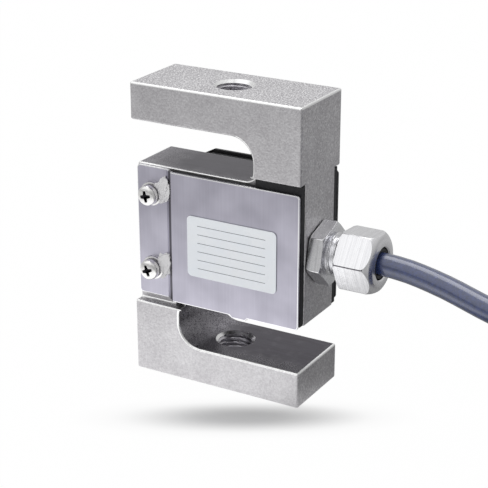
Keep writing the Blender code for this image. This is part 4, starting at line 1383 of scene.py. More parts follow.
@dataclass
class Fasteners:
    """The four cover screws, each with a split washer on a flat washer."""

    gap: float = 0.0001
    edge: float = 0.00009
    # Hole radius, rim radius and thickness of the washers.
    flat: Sizes = (0.0017, 0.00325, 0.0005)
    split: Sizes = (0.0017, 0.0028, 0.0007)
    opening: float = 16
    # Radius and length of the shank, and radius and height of the head.
    shank: Flat = (0.00145, 0.0055)
    head: Flat = (0.0028, 0.0018)
    rounding: float = 0.0011
    # Share of the head's radius and rise over its rim, towards the middle.
    crown: tuple[Flat, ...] = ((0.55, 0.00012), (0.0, 0.0002))
    # Span, slot and depth of the cross recess, and how far its floor lies over the head's underside.
    cross: Sizes = (0.0031, 0.00072, 0.0012)
    cross_floor: float = 0.0003
    over: float = 0.001
    spins: tuple[float, ...] = (0.35, 0.2, 0.9, 1.3)

    def flat_washer(self, low: float) -> Piece:
        """Make a stamped flat washer.

        Args:
            low: its lower face.

        Returns:
            The shape.
        """
        hole, rim, thick = self.flat
        profile = ((hole, low), (rim, low), (rim, low + thick), (hole, low + thick))
        return break_edges(lathe("flat washer shape", profile, sides=56), self.edge, segments=2)

    def split_washer(self, low: float) -> Piece:
        """Make a spring washer, open at one place.

        Args:
            low: its lower face.

        Returns:
            The shape.
        """
        hole, rim, thick = self.split
        outline = arc((0, 0), rim, self.opening / 2, 360 - self.opening / 2, 52)
        outline += arc((0, 0), hole, 360 - self.opening / 2, self.opening / 2, 52)
        return break_edges(prism("split washer shape", outline, low, low + thick), self.edge, segments=2)

    def screw(self, low: float) -> Piece:
        """Make a pan head screw with a cross recess.

        Args:
            low: the underside of its head.

        Returns:
            The shape.
        """
        radius, height = self.head
        top = low + height
        profile = [(0, -self.shank[1]), (self.shank[0], -self.shank[1]), (self.shank[0], low), (radius, low)]
        profile += arc((radius - self.rounding, top - self.rounding), self.rounding, 0, 80, 8)
        profile += [(share * radius, top + rise) for share, rise in self.crown]
        span, slot, depth = self.cross
        bm = bmesh.new()
        rings = []
        for share, level in ((0.35, top - depth), (1.0, top), (1.3, top + self.over)):
            reach, half = share * span / 2, slot / 2
            quarter = ((reach, -half), (reach, half), (1.5 * half, 1.5 * half))
            turns = ((1, 0), (0, 1), (-1, 0), (0, -1))
            ring = [(x * c - y * s, x * s + y * c, level) for c, s in turns for x, y in quarter]
            rings.append([bm.verts.new(point) for point in ring])
        bm.faces.new(rings[0])
        bm.faces.new(rings[-1])
        for ring, other in zip(rings, rings[1:]):
            for index in range(len(ring)):
                after = (index + 1) % len(ring)
                bm.faces.new((ring[index], ring[after], other[after], other[index]))
        return cut(lathe("screw shape", profile, sides=56), mesh_piece("cross tool", bm))

    def in_cross(self, spot: Vector, low: float) -> bool:
        """Tell whether a spot of a screw lies inside its cross recess.

        Args:
            spot: the spot.
            low: height of the head's underside over the recess floor.

        Returns:
            Whether it does.
        """
        height = abs(spot.y) - PLAN.recess_floor - low
        _, x, z = min(PLAN.screw_places, key=lambda place: abs(place[2] - spot.z))
        close = math.hypot(spot.x - x, spot.z - z) < self.cross[0] / 2
        return close and self.cross_floor < height < self.head[1] - HAIR

    def points(self) -> bpy.types.Mesh:
        """List where the screws sit, each with the angles that turn it."""
        places, facing = [], []
        for side in Side:
            for _, x, z in PLAN.screw_places:
                places.append((x, side.value * PLAN.recess_floor, z))
                facing.append(-side.value * math.pi / 2)
        mesh = bpy.data.meshes.new("screw places")
        mesh.from_pydata(places, [], [])
        mesh.attributes.new("facing", "FLOAT", "POINT").data.foreach_set("value", facing)
        mesh.attributes.new("spin", "FLOAT", "POINT").data.foreach_set("value", self.spins)
        return mesh

    def build(self, spread: Recipe) -> None:
        """Make all the screws and washers.

        Args:
            spread: the tree that puts copies on points.
        """
        low = PLAN.flange_face - PLAN.recess_floor + self.gap
        on_flat = low + self.flat[2] + self.gap
        on_split = on_flat + self.split[2] + self.gap
        shapes = {
            "flat_washer": self.flat_washer(low),
            "split_washer": self.split_washer(on_flat),
            "cover_screw": self.screw(on_split),
        }
        for kind, shape in shapes.items():
            shade(shape, sharp=30)
            made = spread.make(f"{kind}s", SCREW_NICKEL, self.points(), Shape=shape)
            bpy.data.objects.remove(shape, do_unlink=True)
            nodes = [f"{kind}_{side.word}_{name}" for side in Side for name, _, _ in PLAN.screw_places]
            if kind == "cover_screw":
                # The faces inside the cross get the painted shade.
                made.data.materials.append(None)
                for face in made.data.polygons:
                    face.material_index = int(self.in_cross(face.center, on_split))
                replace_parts(SCREW_NICKEL.put_on(made, CROSS_SHADE), *nodes)
            else:
                # The split washers get the painted shade.
                finish = SPRING_WASHER_SHADE if kind == "split_washer" else SCREW_NICKEL
                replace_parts(finish.put_on(made), *nodes)
        LOG.info("fasteners: screws and washers at %d places", len(self.spins))


@dataclass
class Sealing:
    """The silicone that seals the joggle beside each front screw, spread by hand."""

    # Half axes of a lump, and how far it sits from its screw in x and height.
    spread: Sizes = (0.0032, 0.001, 0.0034)
    shift: Flat = (0.0036, 0.0015)
    rise: float = 0.45
    seed: float = 3.7
    wave: float = 1.7
    swell: float = 0.3
    # Fractal increment, gap between frequencies and number of octaves.
    roughening: tuple[float, float, int] = (0.8, 2.1, 4)

    def build(self) -> None:
        """Make one lump beside each front screw."""
        p = PLAN
        for name, x, z in p.screw_places:
            bm = bmesh.new()
            bmesh.ops.create_icosphere(bm, subdivisions=5, radius=1.0)
            for vert in bm.verts:
                spot = vert.co * self.wave + Vector((self.seed, z * 1000, 0))
                vert.co *= 1 + self.swell * noise.fractal(spot, *self.roughening)
                vert.co = Vector(a * b for a, b in zip(vert.co, self.spread))
                vert.co.z += self.rise * vert.co.x
                vert.co.y -= max(0.0, vert.co.x) * self.rise / 2
            at = (x + self.shift[0], -p.flange_face, z + self.shift[1])
            lump = shade(mesh_piece(f"sealant_{name}", bm, Matrix.Translation(at)), sharp=180)
            SEALANT.put_on(lump)
        LOG.info("sealing: two lumps of silicone")


@dataclass
class DataPlate:
    """The bare data plate: pale foil with ruled fields."""

    # Width and height.
    size: Flat = (0.0269, 0.0171)
    corner: float = 0.0013
    edge: float = 0.00007
    thickness: float = 0.0002
    gap: float = 0.0001
    shift: float = 0.00525
    drop: float = 0.00115
    rules: int = 6
    rule_gap: float = 0.0024
    # Length, thickness and height of a rule.
    rule: Sizes = (0.0205, 0.00002, 0.00013)

    def rule_recipe(self) -> Recipe:
        """Build the tree of evenly spaced thin rules.

        Returns:
            The recipe.
        """
        recipe = Recipe("rules", {"Count": "Int", "Gap": "Float", "Size": "Vector"})
        step = add(recipe.tree, "ShaderNodeCombineXYZ", {2: recipe.given["Gap"]})
        takes = {"Count": recipe.given["Count"], "Offset": step.outputs[0]}
        line = add(recipe.tree, "GeometryNodeMeshLine", takes)
        bar = add(recipe.tree, "GeometryNodeMeshCube", {"Size": recipe.given["Size"]})
        takes = {0: line.outputs[0], "Instance": bar.outputs[0]}
        copies = add(recipe.tree, "GeometryNodeInstanceOnPoints", takes)
        recipe.end_with(copies.outputs[0])
        return recipe

    def build(self) -> None:
        """Make the plate and its rules."""
        p = PLAN
        half = (self.size[0] / 2, self.size[1] / 2)
        outline = rounded_rectangle((-half[0], -half[1]), half, self.corner)
        start = p.half_depth + self.gap
        at = Matrix.Translation((self.shift, 0, p.middle - self.drop)) @ Side.FRONT.turn
        plate = prism("data_plate", outline, start, start + self.thickness, at)
        shade(break_edges(plate, self.edge, segments=2), sharp=30)
        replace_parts(PLATE_FOIL.put_on(plate), "label_plate")
        face = -start - self.thickness
        low = p.middle - self.drop - (self.rules - 1) * self.rule_gap / 2
        sizes = {"Count": self.rules, "Gap": self.rule_gap, "Size": self.rule}
        rules = self.rule_recipe().make("plate_rules", PLATE_INK, **sizes)
        PLATE_INK.put_on(facing_out(rules, Matrix.Translation((self.shift, face, low))))
        LOG.info("data plate: %d rules", self.rules)


@dataclass
class Gland:
    """The cable gland: threaded body with a hexagon, domed nut, seal and the cable inside."""

    flats: float = 0.015
    chamfer: float = 0.00036
    corner: float = 0.00035
    bore: float = 0.00375
    thread_radius: float = 0.0059
    thread_depth: float = 0.0008
    pitch: float = 0.0015
    thread_sides: int = 64
    rows_a_turn: int = 14
    stub: float = 0.0082
    # Where the body's hexagon starts and ends, from the block's right face.
    hexagon: Flat = (0.0003, 0.0043)
    end: float = 0.0130
    # Radius and depth of the seal's seat.
    seat: Flat = (0.0049, 0.003)
    edge: float = 0.00006
    # Where the nut starts, where its dome starts and where it ends.
    nut: Sizes = (0.0079, 0.0151, 0.0181)
    nut_mouth: float = 0.0056
    nut_hole: float = 0.0043
    nut_lip: float = 0.0003
    # Depths of the neck and of the wider hollow, from the nut's end.
    nut_inside: Flat = (0.0015, 0.0025)
    dome_steps: int = 12
    # Half the angle in degrees that the painted dark reflection spans round the axis, and the most that its
    # faces may look along the cable.
    grime: float = 1.2
    grime_below: float = 0.5
    body_turn: float = 16.6
    nut_turn: float = -4.5
    seal_gap: float = 0.00004
    # Gap to the nut's mouth, rounding and drop of the seal's lip.
    seal_lip: Sizes = (0.00025, 0.0003, 0.0006)
    seal_hollow: float = 0.0005
    cable_radius: float = 0.00305
    cable_start: float = 0.0035
    cable_taper: float = 0.00001

    @property
    def at(self) -> Matrix:
        """Where the gland's axis starts, on the block's right face."""
        return Matrix.Translation((PLAN.half_width, 0, PLAN.middle)) @ ALONG_CABLE

    @property
    def corner_radius(self) -> float:
        """Distance from the axis to a hexagon's corner."""
        return self.flats / math.sqrt(3)

    def hexagon_tool(self, low: float, high: float, turn: float) -> Piece:
        """Make a hexagonal bar with slightly round edges.

        Args:
            low: where it starts.
            high: where it ends.
            turn: angle of its first corner in degrees.

        Returns:
            The bar.
        """
        outline = []
        inner = self.corner_radius - 2 * self.corner / math.sqrt(3)
        for index in range(6):
            angle = turn + 60 * index
            middle = (inner * math.cos(math.radians(angle)), inner * math.sin(math.radians(angle)))
            outline += arc(middle, self.corner, angle - 30, angle + 30, 4)
        return prism("hexagon tool", outline, low, high, self.at)

    def body(self, thread: Recipe) -> None:
        """Make the body's hexagon and its threaded tube.

        Args:
            thread: the thread's tree.
        """
        low, high = self.hexagon
        c, r = self.chamfer, self.corner_radius
        root = self.thread_radius - self.thread_depth
        profile = ((root - HAIR, low), (r - c, low), (r, low + c), (r, high - c), (r - 2 * c, high))
        profile += ((root - HAIR, high),)
        flange = lathe("gland_hexagon", profile, sides=96, turn=self.at)
        cut(flange, self.hexagon_tool(low - c, high + c, self.body_turn), operation="INTERSECT")
        shade(break_edges(flange, self.edge, segments=2), sharp=30)
        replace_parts(GLAND_NICKEL.put_on(flange), "gland_body")
        length = self.stub + self.end
        tube = thread.make(
            "gland_thread",
            GLAND_NICKEL,
            Inside_Radius=self.bore,
            Root_Radius=root,
            Depth=self.thread_depth,
            Pitch=self.pitch,
            Length=length,
            Sides=self.thread_sides,
            Rows=round(self.rows_a_turn * length / self.pitch),
        )
        facing_out(tube, self.at @ Matrix.Translation((0, 0, -self.stub)))
        radius, depth = self.seat
        seat = ((0, self.end - depth), (radius, self.end - depth), (radius, self.end + c), (0, self.end + c))
        cut(tube, lathe("seal seat", seat, sides=48, turn=self.at))
        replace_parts(GLAND_NICKEL.put_on(shade(tube, sharp=40)), "gland_body")

    def cap(self) -> None:
        """Make the nut, whose hexagon runs out into a dome with a round mouth."""
        low, shoulder, end = self.nut
        r, c = self.corner_radius, self.chamfer
        inside = self.thread_radius + PLAN.clearance
        profile = [(inside, low), (r - 1.5 * c, low), (r, low + 1.5 * c)]
        for step in range(self.dome_steps + 1):
            angle = math.pi / 2 * step / self.dome_steps
            out = r - (r - self.nut_mouth) * (1 - math.cos(angle))
            profile.append((out, shoulder + (end - shoulder) * math.sin(angle)))
        lip, (neck, hollow) = self.nut_lip, self.nut_inside
        profile += [(self.nut_hole + lip, end), (self.nut_hole, end - lip), (self.nut_hole, end - neck)]
        profile += [(inside, end - hollow)]
        nut = lathe("gland_cap", profile, sides=96, turn=self.at)
        cut(nut, self.hexagon_tool(low - c, end + c, self.nut_turn), operation="INTERSECT")
        for finish in (GLAND_NICKEL, NUT_DARK_REFLECTION):
            nut.data.materials.append(finish.material())
        shade(break_edges(nut, self.edge, segments=2), sharp=30)
        # Painted dark reflection on the faces along the nut's corner that faces the front.
        for face in nut.data.polygons:
            turn = math.degrees(math.atan2(face.center.z - PLAN.middle, face.center.y)) % 360
            by_corner = abs(turn - self.nut_turn - 180) < self.grime
            face.material_index = int(by_corner and face.normal.x < self.grime_below)
        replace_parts(GLAND_NICKEL.put_on(nut, NUT_DARK_REFLECTION), "gland_nut")

    def seal(self) -> None:
        """Make the rubber seal, with a soft lip in the nut's mouth, and the cable in it."""
        gap = PLAN.clearance
        low, inside = self.end - self.seat[1] + gap, self.cable_radius + self.seal_gap
        lip_gap, rounding, drop = self.seal_lip
        outside, lip = self.seat[0] - gap, self.nut_hole - lip_gap
        shoulder, end = self.nut[1] - gap, self.nut[2]
        profile = [(inside, low), (outside, low), (outside, shoulder), (lip, shoulder + outside - lip)]
        profile += arc((lip - rounding, end - drop), rounding, 0, 90, 5) + [(inside, end - self.seal_hollow)]
        seal = lathe("seal", profile, sides=64, turn=self.at)
        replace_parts(SEAL_RUBBER.put_on(shade(seal, sharp=40)), "gland_seal")
        start, stop = PLAN.pocket_side + self.cable_start - PLAN.half_width, self.nut[2] + HAIR
        r = self.cable_radius
        profile = ((0, start), (r, start), (r - self.cable_taper, stop), (0, stop))
        inner = lathe("cable_in_gland", profile, sides=48, turn=self.at)
        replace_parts(CABLE_PVC.put_on(shade(inner, sharp=40)), "cable_inner")

    def build(self, thread: Recipe) -> None:
        """Make the gland.

        Args:
            thread: the thread's tree.
        """
        self.body(thread)
        self.cap()
        self.seal()
        LOG.info("gland: body, nut and seal")


class Inside:
    """The pieces of the solids that stay, with the finish of the real ones."""

    def build(self) -> None:
        """Give each carried-over node its finish."""
        finishes: dict[str, Finish] = {"gland_o_ring": SEAL_RUBBER, "gland_thrust_washer": GLAND_NICKEL}
        for side in Side:
            finishes[f"{side.word}_gasket"] = GASKET_RUBBER
            finishes[f"terminal_board_{side.word}"] = BOARD_EPOXY
            for number in (1, 2):
                finishes[f"strain_gauge_{side.word}_{number}"] = GAUGE_FILM
                finishes[f"jumper_wire_{side.word}_{number}"] = COPPER_WIRE
        for colour, finish in INSULATION.items():
            finishes[f"core_wire_{colour}"] = finish
        for node, finish in finishes.items():
            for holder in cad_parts[node].material_slots:
                holder.material = finish.material()
        LOG.info("inside: %d carried-over pieces dressed", len(finishes))


@dataclass
class Cable:
    """The cable: its lead, the tied hank that stores its length, and the bare end."""

    diameter: float = 0.0061
    spacing: float = 0.004
    exit: Place = (0.0435, 0.0, 0.0412)
    lead: tuple[Place, ...] = (
        (0.0510, -0.0002, 0.0407),
        (0.0620, -0.0022, 0.0394),
        (0.0760, -0.0062, 0.0374),
        (0.0880, -0.0081, 0.0360),
    )
    hank_left: float = 0.0974
    hank_middle: float = 0.0159
    run: float = 0.045
    radius: float = 0.0212
    pitch: float = 0.0063
    layers: int = 6
    base: float = 0.001
    cross_over: float = 0.056
    step_down: float = 0.050
    rest: float = 0.002
    jacket_end: float = 0.0881
    # Thickness and width of the band, and length and height of its head.
    tie_size: Flat = (0.0006, 0.005)
    tie_head: Flat = (0.0062, 0.0034)
    tie_head_corner: float = 0.0006
    tie_corner: float = 0.0022
    tie_edge: float = 0.00015
    tie_from_end: float = 0.011
    # Radius and length of a conductor outside the jacket.
    conductor: Flat = (0.0006, 0.0165)
    sleeve_share: float = 0.7
    covered_points: int = 3
    # Lay radius of the strands as a share of the conductor's, insulated and bare.
    lay_shares: Flat = (0.42, 0.6)
    strand_share: float = 0.52
    circle: float = 0.0017
    fan_gap: float = 0.0017
    # Colour, angle in the cable in degrees, and place in the fan, of each conductor.
    fan: tuple[tuple[str, float, float], ...] = (
        ("red", 198, -2),
        ("black", 126, -1),
        ("tinned", 270, 0),
        ("green", 54, 1),
        ("white", 342, 2),
    )

    @property
    def lap(self) -> float:
        """Length of one turn of the hank along its middle."""
        return 2 * self.run + 2 * math.pi * self.radius

    @property
    def top(self) -> float:
        """Height of the highest layer's centreline."""
        return self.base + self.diameter / 2 + (self.layers - 1) * self.pitch

    def moves(self) -> tuple[list[tuple[float, float, int, int]], float]:
        """List where the winding changes its track or its layer.

        Returns:
            Start, length, steps out and steps up of each change, and where the last layer is full.
        """
        moves = []
        inwards = -1
        end = self.lap
        for layer in range(self.layers):
            moves.append((end - self.cross_over, self.cross_over, inwards, 0))
            end += self.lap
            if layer < self.layers - 1:
                finish = end - self.cross_over - self.rest
                moves.append((finish - self.step_down, self.step_down, 0, -1))
                end = finish - self.step_down - self.rest + self.lap
                inwards = -inwards
        return moves, end - self.cross_over - self.rest

    def middle_at(self, along: float, out: float) -> Flat:
        """Find a point of the hank in plan.

        Args:
            along: distance along the middle line.
            out: distance out of it.

        Returns:
            Its x and y.
        """
        along %= self.lap
        fold = math.pi * self.radius
        left, right = self.hank_left, self.hank_left + self.run
        if along < self.run:
            return left + along, self.hank_middle - self.radius - out
        if along < self.run + fold:
            angle = (along - self.run) / self.radius - math.pi / 2
            reach = self.radius + out
            return right + reach * math.cos(angle), self.hank_middle + reach * math.sin(angle)
        if along < 2 * self.run + fold:
            return right - (along - self.run - fold), self.hank_middle + self.radius + out
        angle = (along - 2 * self.run - fold) / self.radius + math.pi / 2
        reach = self.radius + out
        return left + reach * math.cos(angle), self.hank_middle + reach * math.sin(angle)

    def winding(self) -> list[Place]:
        """List the points of the hank from the top layer down to the bottom one.

        Returns:
            The points, about 4 mm apart.
        """
        moves, full = self.moves()
        back_run_end = 2 * self.run + math.pi * self.radius
        stop = math.floor((full - back_run_end) / self.lap) * self.lap + back_run_end
        count = round(stop / self.spacing)
        points = []
        for index in range(count + 1):
            along = stop * index / count
            out, height = self.pitch / 2, self.top
            for start, length, across, up in moves:
                if along <= start:
                    break
                share = min(1.0, (along - start) / length)
                eased = (1 - math.cos(math.pi * share)) / 2
                out += across * self.pitch * eased
                height += up * self.pitch * eased
            points.append((*self.middle_at(along, out), height))
        return points

    def route(self) -> list[Vector]:
        """List the whole cable's centreline, from the gland to the jacket's end.

        Returns:
            The points.
        """
        wound = self.winding()
        _, y, z = wound[-1]
        return smooth_line([self.exit, *self.lead, *wound, (self.jacket_end, y, z)], self.spacing)

    def tie(self, name: str, low_y: float, x: float) -> Piece:
        """Make a cable tie round one bundle, with its head on top.

        Args:
            name: the tie's name.
            low_y: the bundle's front.
            x: the tie's middle.

        Returns:
            The tie.
        """
        gap, thick, wide = PLAN.clearance, self.tie_size[0], self.tie_size[1]
        bundle = self.pitch + self.diameter
        low = (low_y - gap, self.base - gap)
        high = (low_y + bundle + gap, self.top + self.diameter / 2 + gap)
        corner = self.tie_corner + gap
        inner = rounded_rectangle(low, high, corner, steps=10)
        low_out, high_out = (low[0] - thick, low[1] - thick), (high[0] + thick, high[1] + thick)
        outer = rounded_rectangle(low_out, high_out, corner + thick, steps=10)
        start, end = x - wide / 2, x + wide / 2
        band = prism(name, outer, start, end, ALONG_CABLE)
        cut(band, prism("tie hole", inner, start - wide, end + wide, ALONG_CABLE))
        middle = (low[0] + high[0]) / 2
        long, tall = self.tie_head
        left, right = middle - long / 2, middle + long / 2
        head = rounded_rectangle((left, high[1]), (right, high[1] + tall), self.tie_head_corner, steps=4)
        cut(band, prism("tie head", head, start - thick, end + thick, ALONG_CABLE), operation="UNION")
        return TIE_NYLON.put_on(shade(break_edges(band, self.tie_edge, segments=2, above=50), sharp=35))

    def strand_recipe(self) -> Recipe:
        """Build the tree of seven strands twisted along a line.

        Returns:
            The recipe.
        """
        recipe = Recipe("strands", {"Lay Radius": "Float", "Strand Radius": "Float", "Turns": "Float"})
        tree, given = recipe.tree, recipe.given
        line = add(tree, "GeometryNodeMeshToCurve", {0: given["Geometry"]})
        along = add(tree, "GeometryNodeSplineParameter").outputs["Factor"]
        tilt = along
        for factor in (given["Turns"], 2 * math.pi):
            tilt = add(tree, "ShaderNodeMath", {0: tilt, 1: factor}, operation="MULTIPLY").outputs[0]
        twisted = add(tree, "GeometryNodeSetCurveTilt", {0: line.outputs[0], "Tilt": tilt})
        lay, one = (
            add(tree, "GeometryNodeCurvePrimitiveCircle", {"Resolution": sides, "Radius": given[radius]})
            for sides, radius in ((6, "Lay Radius"), (8, "Strand Radius"))
        )
        ring = add(tree, "GeometryNodeInstanceOnPoints", {0: lay.outputs[0], "Instance": one.outputs[0]})
        both = add(tree, "GeometryNodeJoinGeometry", {0: ring.outputs[0]})
        tree.links.new(one.outputs[0], both.inputs[0])
        section = add(tree, "GeometryNodeRealizeInstances", {0: both.outputs[0]})
        takes = {0: twisted.outputs[0], "Profile Curve": section.outputs[0], "Fill Caps": True}
        recipe.end_with(add(tree, "GeometryNodeCurveToMesh", takes).outputs[0])
        return recipe

    def conductors(self, track: float) -> list[Piece]:
        """Make the conductors that fan out of the jacket's end, each with a bare twisted tip.

        Args:
            track: y of the jacket's end.

        Returns:
            The pieces.
        """
        strands = self.strand_recipe()
        radius, length = self.conductor
        height = self.base + self.diameter / 2
        floor = radius + 0.0001
        first = self.jacket_end - PLAN.clearance
        pieces = []
        for number, (colour, angle, offset) in enumerate(self.fan):
            turn = math.radians(angle)
            start = (track + self.circle * math.cos(turn), height + self.circle * math.sin(turn))
            end = track - radius + offset * self.fan_gap
            route = (
                (first, start[0], start[1]),
                (first - length / 4, (2 * start[0] + end) / 3, (start[1] + height) / 2),
                (first - length / 2, (start[0] + 2 * end) / 3, (floor + height) / 2),
                (first - 3 * length / 4, end, floor + radius),
                (first - length, end, floor),
            )
            points = smooth_line(route, radius)
            bare = 0 if colour == "tinned" else round(self.sleeve_share * len(points))
            if bare:
                sleeve = round_curve(f"insulation_{colour}", points[: bare + 1], radius, resolution=3)
                pieces.append(INSULATION[colour].put_on(sleeve))
            core = bpy.data.meshes.new("strand line")
            tip = points[max(0, bare - self.covered_points) :]
            core.from_pydata(tip, [(i, i + 1) for i in range(len(tip) - 1)], [])
            lay = radius * self.lay_shares[0 if bare else 1]
            sizes = {"Lay_Radius": lay, "Strand_Radius": self.strand_share * lay, "Turns": 1.5 + number / 5}
            wire = facing_out(strands.make(f"strands_{colour}", TINNED_COPPER, core, **sizes))
            pieces.append(TINNED_COPPER.put_on(shade(wire, sharp=50)))
            node = "shield_drain" if colour == "tinned" else f"conductor_{colour}"
            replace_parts(pieces[-1], node)
        return pieces

    def build(self) -> None:
        points = self.route()
        bundle = self.pitch + self.diameter
        front = self.hank_middle - self.radius - bundle / 2
        rear = self.hank_middle + self.radius + bundle / 2
        left, right = self.hank_left + self.tie_from_end, self.hank_left + self.run - self.tie_from_end
        pieces = [
            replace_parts(self.tie("tie_front", front, left), "hank_tie_front"),
            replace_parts(self.tie("tie_rear", rear - bundle, right), "hank_tie_rear"),
            *self.conductors(points[-1].y),
        ]
        cable = CABLE_PVC.put_on(round_curve("cable", points, self.diameter / 2))
        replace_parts(cable, "cable_lead", "cable_hank", "cable_tail")


@dataclass
class Studio:
    """The camera at the photograph's view, the pale floor, the white surroundings and the lamps."""

    frame_pixels: float = 488
    focal_pixels: float = 1470.565
    sensor: float = 36.0
    azimuth: float = 0.52400377
    elevation: float = 0.37363437
    roll: float = -0.00063062
    distance: float = 0.39476493
    aim: Place = (0.0, 0.0, 0.0412)
    aim_right: float = -0.00232735
    aim_up: float = 0.00281961
    near_clip: float = 0.01
    floor_half: float = 3.0
    paper: float = 0.86
    paper_gloss: float = 0.75
    # The side towards which the floor that the metal mirrors is painted darker.
    lit_side: Place = (1.0, 0.45, 0.0)
    # Place, turn and half axes of the oval of shadow, which is partly painted into the paper.
    shadow: tuple[Place, Place, Place] = ((0.0155, -0.022, 0.0), (0.0, 0.0, 0.529), (0.033, 0.0085, 1.0))
    room_light: float = 0.6
    bright_side: Place = (-0.25, 0.15, 0.95)
    # Name, place, side and power in watts of each lamp.
    lamps: tuple[tuple[str, Place, float, float], ...] = (
        ("key lamp", (-0.55, -0.75, 0.95), 1.6, 3.4),
        ("top lamp", (-0.15, 0.35, 1.1), 0.8, 4.5),
    )

    def camera(self) -> None:
        """Put the camera at the photograph's view."""
        a, e = self.azimuth, self.elevation
        back = Vector((math.sin(a) * math.cos(e), -math.cos(a) * math.cos(e), math.sin(e)))
        right = Vector((math.cos(a), math.sin(a), 0))
        up = back.cross(right)
        c, s = math.cos(self.roll), math.sin(self.roll)
        right, up = c * right + s * up, c * up - s * right
        at = Vector(self.aim) - self.aim_right * right - self.aim_up * up + self.distance * back
        data = bpy.data.cameras.new("camera")
        data.sensor_width = self.sensor
        data.lens = self.sensor * self.focal_pixels / self.frame_pixels
        data.clip_start = self.near_clip
        camera = link("camera", data)
        turn = Matrix((right, up, back)).transposed().to_4x4()
        camera.matrix_world = Matrix.Translation(at) @ turn
        bpy.context.scene.camera = camera

    def floor(self) -> None:
        """Lay a pale floor, white to the camera but for a soft shadow that is partly painted, with painted
        light and shade where the metal mirrors it.
        """
        half = self.floor_half
        outline = ((-half, -half), (half, -half), (half, half), (-half, half))
        bm = bmesh.new()
        bm.faces.new([bm.verts.new((x, y, 0)) for x, y in outline])
        floor = mesh_piece("floor", bm)
        material = bpy.data.materials.new("white paper")
        material.use_nodes = True
        tree = material.node_tree
        tree.nodes.clear()
        path = add(tree, "ShaderNodeLightPath").outputs
        spot = add(tree, "ShaderNodeTexCoord").outputs["Object"]
        takes = {0: spot, 1: self.lit_side}
        right = add(tree, "ShaderNodeVectorMath", takes, operation="DOT_PRODUCT").outputs["Value"]
        far = add(tree, "ShaderNodeVectorMath", {0: spot}, operation="LENGTH").outputs["Value"]
        under = dict(zip(("Location", "Rotation", "Scale"), self.shadow), Vector=spot)
        oval = add(tree, "ShaderNodeMapping", under, vector_type="TEXTURE").outputs[0]
        near = add(tree, "ShaderNodeVectorMath", {0: oval}, operation="LENGTH").outputs["Value"]
        # Each row: a distance, where the change starts and ends, and the level before and after it. The first
        # three paint light and shade into the floor that the metal mirrors, the fourth lets the real shadow
        # show, and the last darkens the paper as a painted shadow.
        levels: dict[str, Socket] = {}
        for name, *terms in (
            ("before", far, 0.03, 0.2, 1.5, 0.72),
            ("behind", far, 0.03, 0.2, 0.3, 0.52),
            ("dim", right, 0.0, 0.04, "before", "behind"),
            ("clean", near, 0.2, 1.1, 0.0, 0.99),
            ("deep", near, 0.0, 1.5, 0.84, 1.0),
        ):
            takes = numbered(terms, levels)
            ramp = add(tree, "ShaderNodeMapRange", takes, interpolation_type="SMOOTHSTEP")
            levels[name] = ramp.outputs[0]
        glossy = path["Is Glossy Ray"]
        plain = add(tree, "ShaderNodeMath", {0: 1.0, 1: glossy}, operation="SUBTRACT").outputs[0]
        plain = add(tree, "ShaderNodeMath", {0: plain, 1: levels["deep"]}, operation="MULTIPLY").outputs[0]
        takes = {0: levels["dim"], 1: glossy, 2: plain}
        shine = add(tree, "ShaderNodeMath", takes, operation="MULTIPLY_ADD").outputs[0]
        takes = {0: (self.paper, self.paper, self.paper), "Scale": shine}
        grey = add(tree, "ShaderNodeVectorMath", takes, operation="SCALE").outputs[0]
        paper = add(tree, "ShaderNodeBsdfDiffuse", {"Color": grey}).outputs[0]
        white = add(tree, "ShaderNodeEmission", {"Color": linear("FFFFFF"), "Strength": shine}).outputs[0]
        takes = {0: path["Is Camera Ray"], 1: levels["clean"]}
        seen = add(tree, "ShaderNodeMath", takes, operation="MULTIPLY").outputs[0]
        takes = {0: glossy, 1: self.paper_gloss, 2: seen}
        share = add(tree, "ShaderNodeMath", takes, operation="MULTIPLY_ADD").outputs[0]
        both = add(tree, "ShaderNodeMixShader", {0: share, 1: paper, 2: white}).outputs[0]
        add(tree, "ShaderNodeOutputMaterial", {0: both})
        floor.data.materials.append(material)

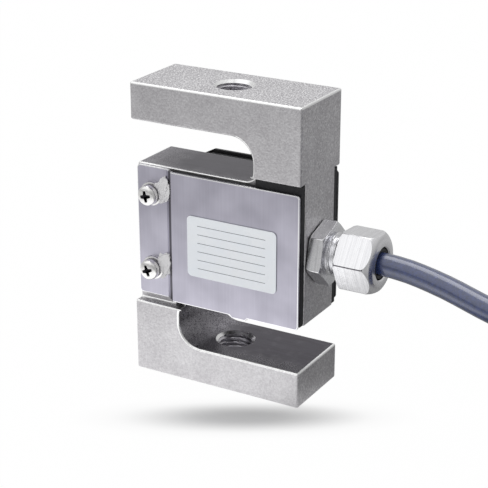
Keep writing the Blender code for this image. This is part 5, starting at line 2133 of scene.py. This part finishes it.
    def surroundings(self) -> None:
        """Make the room white behind the object, and dimmer behind the camera as a studio is."""
        world = bpy.data.worlds.new("white room")
        world.use_nodes = True
        bpy.context.scene.world = world
        tree = world.node_tree
        tree.nodes.clear()
        path = add(tree, "ShaderNodeLightPath").outputs
        look = add(tree, "ShaderNodeTexCoord").outputs["Generated"]
        takes = {0: look, 1: self.bright_side}
        high = add(tree, "ShaderNodeVectorMath", takes, operation="DOT_PRODUCT").outputs["Value"]
        takes = {0: high, 1: 0.0, 2: 0.8, 3: 0.45, 4: 0.75}
        dim = add(tree, "ShaderNodeMapRange", takes, interpolation_type="SMOOTHSTEP").outputs[0]
        mirrored, lit, white = (
            add(tree, "ShaderNodeBackground", {"Color": linear("FFFFFF"), "Strength": strength}).outputs[0]
            for strength in (dim, self.room_light, 1.0)
        )
        takes = {0: path["Is Glossy Ray"], 1: lit, 2: mirrored}
        first = add(tree, "ShaderNodeMixShader", takes).outputs[0]
        takes = {0: path["Is Camera Ray"], 1: path["Is Transmission Ray"]}
        through = add(tree, "ShaderNodeMath", takes, operation="MAXIMUM").outputs[0]
        second = add(tree, "ShaderNodeMixShader", {0: through, 1: first, 2: white}).outputs[0]
        add(tree, "ShaderNodeOutputWorld", {0: second})

    def lamp(self, name: str, at: Place, size: float, power: float) -> None:
        """Hang a square lamp that points at the object.

        Args:
            name: the lamp's name.
            at: where it hangs.
            size: its side.
            power: its power in watts.
        """
        data = bpy.data.lights.new(name, "AREA")
        data.size = size
        data.energy = power
        lamp = link(name, data)
        aim = Vector(at) - Vector(self.aim)
        lamp.matrix_world = Matrix.Translation(at) @ aim.to_track_quat("Z", "Y").to_matrix().to_4x4()

    def build(self) -> None:
        """Set up the whole studio."""
        bpy.context.scene.view_settings.view_transform = "Standard"
        self.camera()
        self.floor()
        self.surroundings()
        for lamp in self.lamps:
            self.lamp(*lamp)


def main() -> None:
    """Build the scene, piece by piece."""
    logging.basicConfig(level=logging.INFO, format="%(message)s")
    Studio().build()
    LOG.info("studio: camera, floor, surroundings and lamps")
    thread, spread = thread_recipe(), spread_recipe()
    Cable().build()
    Block().build(thread)
    Cover(Side.FRONT, COVER_SHEET, SHEET_RIM, foot=0.0004).build()
    Cover(Side.REAR, COVER_BLACK, COVER_BLACK, lift=0.0007, flange_drop=0.0016).build()
    Fasteners().build(spread)
    Sealing().build()
    DataPlate().build()
    Gland().build(thread)
    Inside().build()


if __name__ == "__main__":
    main()
